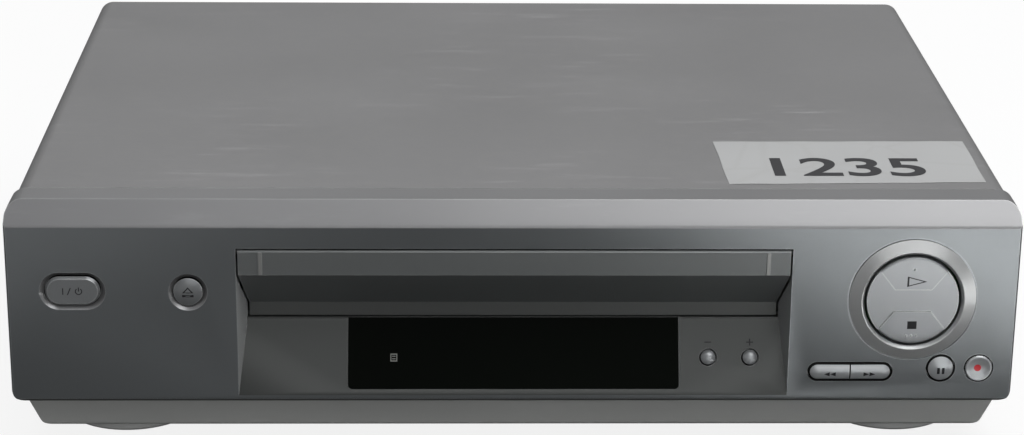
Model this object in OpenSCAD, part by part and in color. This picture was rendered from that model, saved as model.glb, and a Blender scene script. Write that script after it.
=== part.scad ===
// Front-loading video cassette recorder.
// X runs across the front, Y runs from the front to the back, Z runs up from the floor.
// Inside placed() a depth of 0 is the flat of the front face.

/* [Case] */
// Width across the front face
face_w = 355; // [340:1:430]
// How far each side of the cover stands in from the face's edge
flare = 1.5; // [0.5:0.1:3]
// Depth from the front face to the back edge of the cover
case_d = 270; // [262:1:330]
// Height from the floor to the top of the cover
case_h = 94; // [92:0.5:114]
// Height of the flat front face
face_h = 66; // [64:0.5:67]
// Run of the sloping lip over the face
lip_run = 6.5; // [4:0.5:9]
// Depth at which the front panel meets the cover
seam_d = 18; // [16.5:0.5:22]
// Wall of the front panel
wall = 2.2; // [1.8:0.1:2.6]
// Thickness of the cover's steel
steel = 0.8; // [0.6:0.1:1.2]
// Outer bend radius of the cover
bend_r = 6; // [4:0.5:7]
// Height of the grey skirt under the face
skirt_h = 12.5; // [12:0.5:16]
// Height of the feet
foot_h = 7.5; // [6:0.5:10]
// Radius of a foot
foot_r = 25; // [18:0.5:28]

/* [Cassette] */
// Width of a cassette
cassette_w = 188; // [180:0.5:200]
// Depth of a cassette
cassette_d = 104; // [100:0.5:108]
// Thickness of a cassette
cassette_h = 25; // [24:0.5:25.5]
// Height of a waiting cassette's underside over the floor
cassette_z = 48.2; // [48.2:0.1:49]
// How far the tray carries the cassette inward
tray_travel = 70; // [60:1:72]
// How far the tray lowers the cassette
tray_fall = 20; // [16:0.5:20]

/* [Door] */
// Depth of the recess that the door and the display stand in
pocket_d = 13; // [12:0.1:13]
// Draft of each side of the recess over its depth
pocket_draft = 2.8; // [1:0.1:3]
// Height of the door's upright band
band_h = 9.2; // [8:0.1:10]
// Height of the upright lip at the door's foot
door_lip_h = 5; // [4:0.5:6]
// Thickness of the door
door_t = 2; // [1.6:0.1:2.2]
// Gap round the door
door_gap = 0.7; // [0.5:0.05:1]
// Radius of the door's pivot pins
door_pin_r = 0.9; // [0.7:0.05:1]

/* [Display and keys] */
// Half width of the display window
lens_half = 58.8; // [50:0.1:60]
// Length of the power button
power_l = 19.3; // [16:0.1:23]
// Height of the power button
power_h = 10.6; // [9:0.1:12.5]
// Radius of the eject button
eject_r = 5.1; // [4.3:0.1:6.1]
// Radius of the play and stop disc
play_r = 16.35; // [14:0.05:16.5]
// Outer radius of the ring round the disc
ring_r = 22.4; // [21.8:0.1:23]
// Height of the ring's crest over the face
ring_proud = 1.8; // [1:0.1:2.4]
// Length of the rewind and fast-forward pair
seek_l = 29.8; // [26:0.1:31]
// Height of the rewind and fast-forward pair
seek_h = 6.7; // [5.6:0.1:8]
// Radius of the pause and record buttons
round_key_r = 4.95; // [4.2:0.05:5.6]
// Radius of the programme buttons
program_r = 2.85; // [2.4:0.05:3.2]
// Travel of a pressed button
key_travel = 0.8; // [0.5:0.1:1]

/* [Mechanism] */
// Radius of the head drum
drum_r = 31; // [26:0.5:33]
// Lean of the head drum
drum_tilt = 5.97; // [4:0.01:7]
// Radius of the capstan shaft
capstan_r = 1.5; // [1.25:0.05:2]
// Radius of the capstan's flywheel
flywheel_r = 30; // [25:0.5:32]
// Radius of the pinch roller
pinch_r = 7; // [6:0.1:8]
// Distance of each reel's axis from the middle
reel_x = 46; // [46:0.1:47]
// Radius of a reel table
reel_r = 18; // [15:0.1:18]
// Radius of the idler wheel
idler_r = 15; // [13:0.1:15.5]
// Radius of the cam gear at its pitch line
cam_r = 18; // [16:0.8:18.4]
// Number of teeth on a tray pinion
pinion_teeth = 10; // [9:1:12]
// Tooth module of the tray's pinions and racks
rack_module = 1; // [0.9:0.05:1.1]

/* [Back] */
// How far the aerial plug reaches past the cover's back edge
plug_reach = 9.8; // [8:0.1:12]
// Outer radius of a phono jack's shell
phono_r = 4.15; // [4:0.05:4.3]
// Inner radius of the aerial input's shell
aerial_in_r = 4.8; // [4.7:0.05:4.9]
// Outer radius of the aerial output's shell
aerial_out_r = 4.76; // [4.7:0.02:4.8]

/* [Hidden] */
$fn = 48;

// Clearances
run = 0.06;
near = 0.3;
slack = 0.35;
past = 1;

// Case levels and edges
face_z0 = foot_h + skirt_h;
face_z1 = face_z0 + face_h;
lip_rise = case_h - face_z1;
lean = atan(lip_run / lip_rise);
cover_half = face_w / 2 - flare;
edge = 0.6;
foot_edge = 1.2;
rear_t = 1.5;
rear_d = case_d - 2.6;
rear_face_d = rear_d + rear_t;
front_y = (ring_proud - case_d - plug_reach) / 2;

// Base moulding
base_wall = 2.5;
skirt_d = 6;
skirt_lean = 2;
skirt_in = 4;
skirt_half = face_w / 2 - 4;
skirt_corner = 4;
base_back = case_d - 1;
floor_z = foot_h + base_wall;
rim_half = skirt_half - 0.1;
rim_t = 2.2;
rim_z = face_z0 + 14;
board_z = floor_z + 7;
board_t = 1.6;
board_top = board_z + board_t;
foot_x = face_w / 2 - 37.5;
foot_d = [42, case_d - 40];
pad_t = 1;

// Recess, sloping panel and door
pocket_half = cassette_w / 2 + 3.4;
pocket_top = cassette_z + cassette_h + 4.7;
slope_d = pocket_d - 0.8;
slope_z0 = face_z0 + 2.5;
sill_z = cassette_z - 0.6;
slope_z1 = sill_z - 1.5;
slope_rise = slope_z1 - slope_z0;
tilt = atan(slope_d / slope_rise);
slope_len = norm([slope_d, slope_rise]);
pocket_back = pocket_d + 2.4;
pocket_wall = 2.2;
door_top = pocket_top - door_gap;
band_z = door_top - band_h;
door_foot = sill_z + 0.4;
door_knee = door_foot + door_lip_h;
door_half = pocket_half - door_gap;
pivot_d = 2.2;
pivot_z = door_top - 1;
ear_r = 1.7;
pin_end = pocket_half + pocket_wall + 0.6;
spring_turns = 4.25;
spring_pitch = 0.8;
spring_wire = 0.3;
spring_r = 1.9;
spring_x = -pocket_half + 4;
spring_d = pivot_d + 4.8;
spring_z = pocket_top + 2.7;

// Display
lens_t = 1.3;
lens_v0 = 2.1;
lens_v1 = slope_len + 1.2;
window_half = lens_half - 2.8;
tube_w = 7;
display_back = 12.9;
program_v = 13.5;
program_x = [lens_half + 10.6, lens_half + 25.6];
tray_edge = cassette_w / 2 - 5.7;

// Keys on the face
power_x = -face_w / 2 + 23;
power_z = face_z0 + 42;
eject_x = -face_w / 2 + 63.2;
eject_z = face_z0 + 41.6;
ring_x = face_w / 2 - 37.2;
ring_z = face_z0 + 39;
tub_r = ring_r - 2.8;
tub_end = 9.5;
tub_t = 2;
rocker_pivot = 6.5;
rocker_stem_z = 9;
seek_x = face_w / 2 - 58;
seek_z = ring_z - ring_r - seek_h / 2 - 1.65;
pause_x = face_w / 2 - 25.7;
record_x = face_w / 2 - 12.1;
round_key_z = ring_z - ring_r - round_key_r + 1.25;
dish_depth = 1.3;
key_board_d = 16;
switch_h = 4;
plunger_h = 1;
stem_r = 2;
stem_end = key_board_d - switch_h - plunger_h - key_travel - 0.1;
flange_d = wall + 0.4;
flange_t = 1.2;

// Deck and mechanism
deck_t = 1.6;
deck_top = cassette_z - tray_fall - 6.2;
deck_z = deck_top - deck_t;
deck_half = 101;
deck_d0 = 62;
deck_d1 = 244;
drum_d = 204;
drum_base_h = 8;
drum_split = 26;
drum_top = 39;
drum_shaft_r = 3;
capstan = [62, 150];
capstan_pulley_r = 9;
capstan_foot = 12;
pulley_z = 15.8;
pulley_t = 3;
wheel_z = deck_top + 1.4;
wheel_t = 2.8;
clutch = [0, 120];
clutch_pulley_r = 13;
idler_l = 24;
clutch_wheel_r = idler_l - idler_r - near;
clutch_shaft_r = 2;
bush_r = 3;
reel_d = 99;
reel_post_r = 2;
pinch_pivot = [84, 172];
pinch_angle = 80;
pinch_swing = 34;
pinch_axis_in = capstan + (pinch_r + capstan_r + near) * [cos(pinch_angle), sin(pinch_angle)];
pinch_arm_l = norm(pinch_axis_in - pinch_pivot);
pinch_in = atan2(pinch_axis_in[1] - pinch_pivot[1], pinch_axis_in[0] - pinch_pivot[0]);
pinch_rest = pinch_in - pinch_swing;
pinch_axis = pinch_pivot + pinch_arm_l * [cos(pinch_rest), sin(pinch_rest)];
tension_pivot = [-74, 120];
tension_l = 32;
tension_rest = 68;
guide_rest = [26, 150];
guide_run = [16, 48];
audio_at = [58.1, 187];
audio_turn = 36;
guide_slot_r = 2.2;
cam_gear_at = [66, 226];
cam_post_r = 2.5;
cam_z = deck_top + 7.5;
cam_t = 4;
cam_teeth = round(2 * cam_r / 0.8);
worm_r = 4;
worm_x = cam_gear_at[0] + cam_r + worm_r + 1.1;
motor_r = 9;
motor_d = [184, 210];

// Carriage
tray_half = cassette_w / 2 + 2.5;
tray_t = 1.2;
tray_d0 = 17;
tray_d1 = 90;
tray_cut_d = 34.5;
tray_top = cassette_z + cassette_h + 0.3;
ledge_top = cassette_z - 0.2;
tray_pin_d = [42, 84];
tray_pin_z = cassette_z + 19.8;
pin_r = 1.8;
slider_in = tray_half + 0.4;
slider_t = 2;
slider_d0 = 36;
slider_d1 = 116;
pitch_z = tray_top + 6.25;
rack_pitch = 180 * rack_module * 2 * PI / 360;
pinion_r = pinion_teeth * rack_module / 2;
pinion_d = slider_d0 + tray_travel + 4;
shaft_z = pitch_z + pinion_r;
shaft_r = 1.5;
side_in = slider_in + slider_t + 0.5;
side_t = 1.2;
side_d0 = 19;
side_d1 = 190;
side_top = shaft_z + 3.3;
slide_pin_z = tray_top + 2.5;
slide_pin_d = [46, 106];

// Back
body_back = base_back - base_wall - 0.4;
scart_x = -25;
scart_z = [board_top + 9.5, board_top + 28];
tuner_x = -139;
aerial_z = [board_top + 42, board_top + 20];
phono_x = [30, 45];
phono_z = board_top + 11;
inlet_x = face_w / 2 - 38;
inlet_z = board_top + 10;
board_half = rim_half - rim_t - 2.8;
zone_x = deck_half + 3;

module placed() {
    translate([0, front_y, 0]) children();
}

// Extrudes a depth and height profile from x0 to x1.
module along_x(x0, x1) {
    translate([x0, 0, 0]) rotate([90, 0, 90]) linear_extrude(x1 - x0) children();
}

// Extrudes a width and height outline from depth d0 to d1.
module along_d(d0, d1) {
    translate([0, d1, 0]) rotate([90, 0, 0]) linear_extrude(d1 - d0) children();
}

// Extrudes a plan outline from height z0 to z1.
module along_z(z0, z1) {
    translate([0, 0, z0]) linear_extrude(z1 - z0) children();
}

// Turns local z to face out of the front at x and z.
module facing(x, z) {
    translate([x, 0, z]) rotate([90, 0, 0]) children();
}

// Local x across, y up the sloping panel, z out of its surface.
module on_panel() {
    translate([0, 0, slope_z0]) rotate([90 - tilt, 0, 0]) children();
}

module block(x, d, z) {
    translate([x[0], d[0], z[0]]) cube([x[1] - x[0], d[1] - d[0], z[1] - z[0]]);
}

// A straight rod from z0 to z1 at a point in plan.
module post(at, r, z0, z1) {
    translate([at[0], at[1], z0]) cylinder(r = r, h = z1 - z0);
}

// A straight rod along X.
module rod_x(d, z, r, x0, x1) {
    translate([x0, d, z]) rotate([0, 90, 0]) cylinder(r = r, h = x1 - x0);
}

// A straight rod along the depth.
module rod_d(x, z, r, d0, d1) {
    translate([x, d1, z]) rotate([90, 0, 0]) cylinder(r = r, h = d1 - d0);
}

module both_sides() {
    children();
    mirror([1, 0, 0]) children();
}

// Outline with round lower and upper corners.
module outline(half, z0, z1, low_r, top_r) {
    translate([-half, z0 + low_r]) square([2 * half, z1 - z0 - low_r - top_r]);
    translate([-half + low_r, z0]) square([2 * (half - low_r), low_r]);
    translate([-half + top_r, z1 - top_r]) square([2 * (half - top_r), top_r]);
    for (side = [-1, 1]) {
        translate([side * (half - low_r), z0 + low_r]) circle(low_r);
        translate([side * (half - top_r), z1 - top_r]) circle(top_r);
    }
}

// Outline with square feet and round upper corners.
module arch(half, z0, z1, r) {
    translate([-half, z0]) square([2 * half, z1 - z0 - r]);
    translate([-half + r, z1 - r]) square([2 * (half - r), r]);
    for (side = [-1, 1]) {
        translate([side * (half - r), z1 - r]) circle(r);
    }
}

module stadium(l, h) {
    square([l - h, h], center = true);
    for (side = [-1, 1]) {
        translate([side * (l - h) / 2, 0]) circle(h / 2);
    }
}

// Slot outline between two points.
module slot_between(a, b, r) {
    run_v = b - a;
    translate(a) circle(r);
    translate(b) circle(r);
    translate(a) rotate(atan2(run_v[1], run_v[0])) translate([0, -r]) square([norm(run_v), 2 * r]);
}

// Straight-flanked gear outline with a tooth centred on local +x.
module gear_outline(teeth, m, thin) {
    r = teeth * m / 2;
    tip = r + 0.9 * m;
    root = r - 1.15 * m;
    half_pitch = 90 / teeth - thin / r * 180 / PI;
    tip_half = half_pitch - 0.33 * m / r * 180 / PI;
    root_half = half_pitch + 0.42 * m / r * 180 / PI;
    polygon([for (i = [0 : teeth - 1], corner = [[root, -root_half], [tip, -tip_half], [tip, tip_half],
        [root, root_half]]) corner[0] * [cos(360 * i / teeth + corner[1]), sin(360 * i / teeth + corner[1])]]);
}

// Front panel

// Solid inside the panel's outer surface, set in by t and ending at depth d_end.
module panel_form(t, d_end) {
    half = face_w / 2 - t;
    narrow = flare / seam_d;
    e = t > 0 ? 0 : 1;
    intersection() {
        along_x(-face_w, face_w) polygon([
            [t + foot_edge * e, face_z0 + t],
            [t, face_z0 + t + foot_edge * e],
            [t, face_z1 - t * tan(lean / 2) - edge * e],
            [t + edge * sin(lean) * e, face_z1 - t * tan(lean / 2) + edge * cos(lean) * e],
            [lip_run + t * tan(45 - lean / 2), case_h - t],
            [d_end, case_h - t],
            [d_end, face_z0 + t]]);
        along_d(0, d_end + past) outline(half, face_z0 + t, case_h - t, 4.5 - t / 2, bend_r - t / 2);
        along_z(0, case_h) polygon([
            [-half + edge * e, t], [half - edge * e, t], [half, t + edge * e],
            [half - narrow * d_end, d_end], [-half + narrow * d_end, d_end], [-half, t + edge * e]]);
    }
}

// Recess in front of the door's slanted face and over the sloping panel.
module drafted_void() {
    intersection() {
        along_x(-pocket_half - past, pocket_half + past) polygon([
            [-past, slope_z0 - past / tan(tilt)], [slope_d, slope_z1], [slope_d, sill_z], [pocket_d, sill_z],
            [pocket_d, door_knee], [0, band_z], [-past, band_z]]);
        along_z(0, case_h) polygon([
            [-pocket_half, -past], [pocket_half, -past], [pocket_half, 0],
            [pocket_half - pocket_draft, pocket_d], [pocket_half - pocket_draft, pocket_back + past],
            [-pocket_half + pocket_draft, pocket_back + past], [-pocket_half + pocket_draft, pocket_d],
            [-pocket_half, 0]]);
    }
}

// Mouth that the door closes, straight-sided so that the door can swing in.
module mouth_void() {
    along_x(-pocket_half, pocket_half) polygon([
        [-past, band_z - 0.2], [0, band_z - 0.2], [pocket_d, door_knee - 0.2], [pocket_d, sill_z],
        [pocket_back + past, sill_z], [pocket_back + past, pocket_top + 4], [wall, pocket_top + 4],
        [wall, pocket_top], [-past, pocket_top]]);
}

module recess_walls() {
    back = [door_t * cos(tilt), -door_t * sin(tilt)];
    along_x(-pocket_half - pocket_wall, pocket_half + pocket_wall) polygon([
        [wall / 2, face_z0 + wall / 2], [wall / 2, pocket_top + 2], [pocket_back, pocket_top + 2],
        [pocket_back, sill_z - 2], [slope_d + back[0], slope_z1 + back[1]],
        [back[0], slope_z0 + back[1]], [wall, face_z0 + wall / 2]]);
}

module display_posts() {
    on_panel() {
        for (x = [-lens_half - 7.5, lens_half + 18], v = [7, 21]) {
            translate([x, v, -display_back]) cylinder(r = 2.5, h = display_back - door_t + 0.5);
        }
    }
}

module board_posts() {
    for (side = [-1, 1]) {
        for (spot = [[pocket_half + 9, 52], [face_w / 2 - 9.5, 56], [pocket_half + 9, 23], [face_w / 2 - 6, 24]]) {
            rod_d(side * spot[0], face_z0 + spot[1], 2.4, wall - 0.1, key_board_d);
        }
    }
}

module key_holes() {
    facing(power_x, power_z) translate([0, 0, -wall - past]) linear_extrude(wall + 2 * past)
        stadium(power_l + 2 * slack, power_h + 2 * slack);
    facing(power_x, power_z) hull() {
        translate([0, 0, -0.01]) linear_extrude(0.02) stadium(power_l + 3.8, power_h + 3.3);
        translate([0, 0, -dish_depth]) linear_extrude(0.02) stadium(power_l + 2 * slack, power_h + 2 * slack);
    }
    facing(eject_x, eject_z) {
        translate([0, 0, -wall - past]) cylinder(r = eject_r + slack, h = wall + 2 * past);
        translate([0, 0, -dish_depth]) cylinder(r1 = eject_r + slack, r2 = eject_r + 1.75, h = dish_depth);
    }
    facing(ring_x, ring_z) {
        translate([0, 0, -tub_end - past]) cylinder(r = tub_r, h = tub_end + 2 * past);
        translate([0, 0, -0.4]) difference() {
            cylinder(r = ring_r + 0.5, h = past);
            translate([0, 0, -past]) cylinder(r = ring_r + 0.05, h = 3 * past);
        }
    }
    rod_x(rocker_pivot, ring_z, 1 + run, ring_x - tub_r - tub_t + 0.4, ring_x + tub_r + tub_t - 0.4);
    facing(seek_x, seek_z) translate([0, 0, -wall - past]) linear_extrude(wall + 2 * past)
        stadium(seek_l + 2 * slack, seek_h + 2 * slack);
    for (x = [pause_x, record_x]) {
        facing(x, round_key_z) translate([0, 0, -wall - past])
            cylinder(r = round_key_r + slack, h = wall + 2 * past);
    }
    on_panel() {
        for (x = program_x) {
            translate([x, program_v, -door_t - past]) cylinder(r = program_r + slack, h = door_t + 2 * past);
        }
    }
}

module lens_outline(half, v0, v1, r) {
    translate([-half, v0 + r]) square([2 * half, v1 - v0 - r]);
    translate([-half + r, v0]) square([2 * (half - r), r]);
    for (side = [-1, 1]) {
        translate([side * (half - r), v0 + r]) circle(r);
    }
}

// Peg that carries the door's return spring.
module spring_peg() {
    block([-pocket_half - pocket_wall, -pocket_half - 0.1], [spring_d - 4, spring_d + 4], [pivot_z + 2, spring_z + 3]);
    rod_x(spring_d, spring_z, spring_r - spring_wire - near, -pocket_half - 1, spring_x + 5.5);
}

module front_panel() {
    placed() color("silver") spring_peg();
    placed() color("silver") difference() {
        union() {
            difference() {
                panel_form(0, seam_d);
                panel_form(wall, seam_d + past);
                block([-pocket_half + 5, pocket_half - 5], [skirt_d + base_wall + near, seam_d + past],
                    [face_z0 - past, face_z0 + wall + 0.1]);
            }
            difference() {
                along_d(seam_d - wall, seam_d + 4) arch(cover_half - steel - 0.2, face_z0 + 16,
                    case_h - steel - 0.2, bend_r - steel);
                along_d(seam_d - wall - past, seam_d + 4 + past) arch(cover_half - steel - 2,
                    face_z0, case_h - steel - 2, bend_r - steel - 1);
            }
            recess_walls();
            facing(ring_x, ring_z) translate([0, 0, -tub_end]) cylinder(r = tub_r + tub_t, h = tub_end - 0.5);
            display_posts();
            board_posts();
        }
        drafted_void();
        mouth_void();
        key_holes();
        on_panel() {
            translate([0, 0, -lens_t]) linear_extrude(4) lens_outline(lens_half + 0.1, lens_v0, lens_v1 + 0.4, 1.5);
            translate([-window_half, lens_v0 + 2.5, -door_t - 2]) cube([2 * window_half, slope_len - 7, 6]);
        }
        rod_x(pivot_d, pivot_z, ear_r + near, -pocket_half - 0.2, pocket_half + 0.2);
        rod_x(pivot_d, pivot_z, door_pin_r + run, -pin_end, pin_end);
    }
}

// Door profile at the slanted outer side, moved back by t.
module door_profile() {
    slant = atan(pocket_d / (band_z - door_knee));
    polygon([
        [edge, door_top], [0, door_top - edge], [0, band_z], [pocket_d, door_knee], [pocket_d, door_foot],
        [pocket_d + door_t, door_foot], [pocket_d + door_t, door_knee + door_t * tan(slant / 2)],
        [door_t, band_z + door_t * tan(slant / 2)], [door_t, door_top]]);
}

module cassette_door() {
    placed() color("dimgray") {
        intersection() {
            along_x(-door_half, door_half) door_profile();
            along_z(0, case_h) polygon([
                [-door_half, -past], [door_half, -past], [door_half, 0],
                [door_half - pocket_draft, pocket_d], [door_half - pocket_draft, pocket_back],
                [-door_half + pocket_draft, pocket_back], [-door_half + pocket_draft, pocket_d],
                [-door_half, 0]]);
        }
        both_sides() {
            block([door_half - 8.4, door_half - 7.2], [-0.5, door_t / 2], [band_z + 0.3, door_top - 0.8]);
            rod_x(pivot_d, pivot_z, ear_r, door_half - 1.5, door_half);
            rod_x(pivot_d, pivot_z, door_pin_r, door_half - 0.5, pin_end - 0.6);
            for (x = [0.25, 0.5, 0.75]) {
                along_x(x * door_half - 0.6, x * door_half + 0.6) polygon([
                    [door_t / 2, band_z - 1], [door_t / 2, door_top - 2], [door_t + 1, door_top - 2.6],
                    [door_t + 3, band_z], [pocket_d + 1, door_knee + 3], [pocket_d + 1, door_knee]]);
            }
        }
    }
}

// Coil on a peg over the door, one end on the panel and the other behind the door's band.
module door_spring() {
    steps = 14;
    count = ceil(spring_turns * steps);
    coil = [for (i = [0 : count]) let(a = 90 + 360 * spring_turns * i / count)
        [spring_x + spring_pitch * spring_turns * i / count,
            spring_d + spring_r * cos(a), spring_z + spring_r * sin(a)]];
    path = concat([[spring_x, wall + spring_wire + 0.1, spring_z + spring_r + 0.6]], coil,
        [[coil[count][0], door_t + spring_wire + 0.25, band_z + 4]]);
    last = len(path) - 1;
    sides = 6;
    ring_at = function(i) let(
        along = path[min(i + 1, last)] - path[max(i - 1, 0)],
        t = along / norm(along),
        u = [1, 0, 0] - t[0] * t,
        v = cross(t, u / norm(u)))
        [for (k = [0 : sides - 1]) path[i] + spring_wire * (cos(60 * k) * u / norm(u) + sin(60 * k) * v)];
    faces = concat(
        [[for (k = [0 : sides - 1]) k]],
        [for (i = [0 : last - 1], k = [0 : sides - 1]) [i * sides + (k + 1) % sides, i * sides + k,
            (i + 1) * sides + k, (i + 1) * sides + (k + 1) % sides]],
        [[for (k = [sides - 1 : -1 : 0]) last * sides + k]]);
    placed() color("gainsboro") polyhedron([for (i = [0 : last]) each ring_at(i)], faces);
}

module display_window() {
    placed() color("black") on_panel() {
        translate([0, 0, -lens_t]) linear_extrude(lens_t) lens_outline(lens_half, lens_v0 + 0.1, lens_v1, 1.5);
        translate([-window_half + 0.3, lens_v0 + 2.8, -door_t - 0.6])
            cube([2 * window_half - 0.6, slope_len - 7.6, door_t]);
    }
}

// Keys

module key_stem() {
    translate([0, 0, -stem_end]) cylinder(r = stem_r, h = stem_end - flange_d);
}

module round_flange(r) {
    translate([0, 0, -flange_d - flange_t]) cylinder(r = r + 1.1, h = flange_t);
}

module power_button() {
    placed() color("silver") facing(power_x, power_z) {
        hull() {
            translate([0, 0, -0.7]) linear_extrude(0.1) stadium(power_l, power_h);
            translate([0, 0, 0.2]) linear_extrude(0.1) stadium(power_l - 1.6, power_h - 1.6);
        }
        translate([0, 0, -flange_d - flange_t / 2]) linear_extrude(flange_d + flange_t / 2 - 0.65)
            stadium(power_l, power_h);
        translate([0, 0, -flange_d - flange_t]) linear_extrude(flange_t) stadium(power_l + 2.2, power_h + 2.2);
        key_stem();
    }
}

// Round cap whose front is cut by a sphere.
module domed_cap(r, proud, dome_r) {
    intersection() {
        translate([0, 0, -flange_d - flange_t]) cylinder(r = r, h = flange_d + flange_t + proud + past);
        translate([0, 0, proud - dome_r]) sphere(dome_r, $fn = 96);
    }
}

module eject_button() {
    placed() color("silver") facing(eject_x, eject_z) {
        domed_cap(eject_r, 0.5, 14);
        round_flange(eject_r);
        key_stem();
    }
}

module pause_button() {
    placed() color("silver") facing(pause_x, round_key_z) {
        domed_cap(round_key_r, 1.2, 10);
        round_flange(round_key_r);
        key_stem();
    }
}

module record_button() {
    proud = 0.7;
    dish_r = 9;
    placed() color("silver") facing(record_x, round_key_z) {
        difference() {
            union() {
                translate([0, 0, -flange_d - flange_t])
                    cylinder(r = round_key_r, h = flange_d + flange_t + proud - 0.6);
                translate([0, 0, proud - 0.6]) cylinder(r1 = round_key_r, r2 = round_key_r - 0.5, h = 0.6);
            }
            translate([0, 0, proud - 0.95 + dish_r]) sphere(dish_r, $fn = 96);
        }
        round_flange(round_key_r);
        key_stem();
    }
}

// One half of the seek pair, from its round outer end to the split.
module seek_half() {
    crown = 5;
    reach = seek_l / 2;
    end_x = -reach + seek_h / 2;
    proud = 1;
    intersection() {
        translate([0, 0, -flange_d - flange_t]) linear_extrude(flange_d + flange_t + 3) intersection() {
            stadium(seek_l, seek_h);
            translate([-reach - past, -seek_h]) square([reach + past - 0.25, 2 * seek_h]);
        }
        union() {
            translate([end_x, 0, proud - crown]) sphere(crown, $fn = 40);
            translate([end_x, 0, proud - crown]) rotate([0, 90, 0]) cylinder(r = crown, h = reach, $fn = 40);
            translate([-reach, -seek_h, -flange_d - 2]) cube([reach, 2 * seek_h, flange_d + 1.7]);
        }
    }
    translate([0, 0, -flange_d - flange_t]) linear_extrude(flange_t) intersection() {
        stadium(seek_l + 2, seek_h + 2);
        translate([-reach - 2, -seek_h]) square([reach + 2 - 0.25, 2 * seek_h]);
    }
    translate([-reach / 2, 0, 0]) key_stem();
}

module rewind_button() {
    placed() color("silver") facing(seek_x, seek_z) seek_half();
}

module fast_forward_button() {
    placed() color("silver") facing(seek_x, seek_z) mirror([1, 0, 0]) seek_half();
}

module program_button(index) {
    stem_len = display_back - switch_h - plunger_h - key_travel - 0.1;
    placed() color("silver") on_panel() translate([program_x[index], program_v, 0]) {
        domed_cap(program_r, 1.3, 3.6);
        translate([0, 0, -door_t - 1.6]) cylinder(r = program_r + 1, h = 1.2);
        translate([0, 0, -stem_len]) cylinder(r = 1.6, h = stem_len - 1);
    }
}

module program_down_button() {
    program_button(0);
}

module program_up_button() {
    program_button(1);
}

module dial_ring() {
    placed() color("silver") facing(ring_x, ring_z) rotate_extrude() polygon([
        [play_r + 0.85, -2.8], [tub_r - 0.1, -2.8], [tub_r - 0.1, 0], [ring_r, 0], [ring_r, 0.15],
        [play_r + 2.2, ring_proud - 0.1], [play_r + 1.9, ring_proud], [play_r + 1.6, ring_proud - 0.1],
        [play_r + 0.85, 0.6]]);
}

module play_stop_rocker() {
    front = 1.2;
    key_step = 0.45;
    band_half = 4.05;
    band_narrow = 6.5;
    spread = 0.78;
    far = play_r * 1.2;
    placed() color("silver") facing(ring_x, ring_z) {
        difference() {
            rotate_extrude() polygon([[0, -3], [play_r, -3], [play_r, 0.3], [play_r - 0.15, 0.75],
                [play_r - 0.5, 1.08], [play_r - 0.95, front], [0, front]]);
            translate([0, 0, front - key_step]) linear_extrude(1) polygon([
                [-band_narrow, band_half], [band_narrow, band_half],
                [band_narrow + spread * far, band_half + far], [2 * far, band_half + far],
                [2 * far, -band_half - far], [band_narrow + spread * far, -band_half - far],
                [band_narrow, -band_half], [-band_narrow, -band_half],
                [-band_narrow - spread * far, -band_half - far], [-2 * far, -band_half - far],
                [-2 * far, band_half + far], [-band_narrow - spread * far, band_half + far]]);
        }
        translate([0, 11.6, front - 0.1]) sphere(0.5, $fn = 16);
        for (x = [-1.7, 0, 1.7]) {
            translate([x, -13.2, front - 0.1]) sphere(0.45, $fn = 16);
        }
        translate([-13, -3, -rocker_pivot - 1.6]) cube([26, 6, rocker_pivot - 1]);
        for (z = [-rocker_stem_z, rocker_stem_z]) {
            translate([0, z, -stem_end]) cylinder(r = stem_r, h = stem_end - 2);
        }
    }
    placed() color("silver") rod_x(rocker_pivot, ring_z, 1, ring_x - tub_r - 1.4, ring_x + tub_r + 1.4);
}

// Base, feet and covers

function skirt_outline(half_top, half_low, z0, z1, r) = concat(
    [[half_top, z1]],
    [for (a = [-18 : -18 : -90]) [half_low - r + r * cos(a), z0 + r + r * sin(a)]],
    [for (a = [-90 : -18 : -162]) [-half_low + r + r * cos(a), z0 + r + r * sin(a)]],
    [[-half_top, z1]]);

module base_form(t) {
    z0 = foot_h + t;
    z1 = face_z0 + (t > 0 ? past : 0);
    intersection() {
        along_d(0, case_d + past) polygon(skirt_outline(skirt_half - t, skirt_half - skirt_in - t, z0, z1, skirt_corner));
        along_x(-face_w, face_w) polygon([
            [skirt_d + t, z1], [skirt_d + skirt_lean + t, z0 + 1], [skirt_d + skirt_lean + t + 1, z0],
            [base_back - skirt_lean - t, z0], [base_back - t, z1]]);
    }
}

module floor_slots(x0, d0, count, across) {
    for (i = [0 : count - 1]) {
        along_z(foot_h - past, floor_z + past) slot_between([x0, d0 + 7 * i], [x0 + across, d0 + 7 * i], 1.3);
    }
}

module base_chassis() {
    board_bosses = [[-board_half + 5, 40], [-zone_x - 5, 40], [-board_half + 5, 150], [-zone_x - 5, 150],
        [-board_half + 5, rear_d - 14], [zone_x + 5, 122], [board_half - 5, 122],
        [zone_x + 5, rear_d - 14], [board_half - 5, rear_d - 14], [12, rear_d - 9]];
    placed() color("lightgray") difference() {
        union() {
            difference() {
                base_form(0);
                base_form(base_wall);
            }
            both_sides() {
                block([rim_half - rim_t, rim_half], [seam_d + 6, base_back - 6], [face_z0 - 3, rim_z]);
                for (d = [62, case_d - 38]) {
                    rod_x(d, face_z0 + 9, 4, rim_half - rim_t - 4, cover_half - steel - near);
                }
                for (d = [deck_d0 + 8, deck_d1 - 8]) {
                    post([90, d], 4, floor_z - 0.5, deck_z);
                }
            }
            for (spot = board_bosses) {
                post(spot, 3, floor_z - 0.5, board_z);
            }
            post(capstan, 3, floor_z - 0.5, capstan_foot - near);
        }
        both_sides() {
            for (d = [62, case_d - 38]) {
                rod_x(d, face_z0 + 9, 1.7, rim_half - rim_t - 5, cover_half);
            }
        }
        floor_slots(-board_half + 12, 80, 8, 34);
        floor_slots(zone_x + 14, 150, 9, 34);
    }
}

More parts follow.
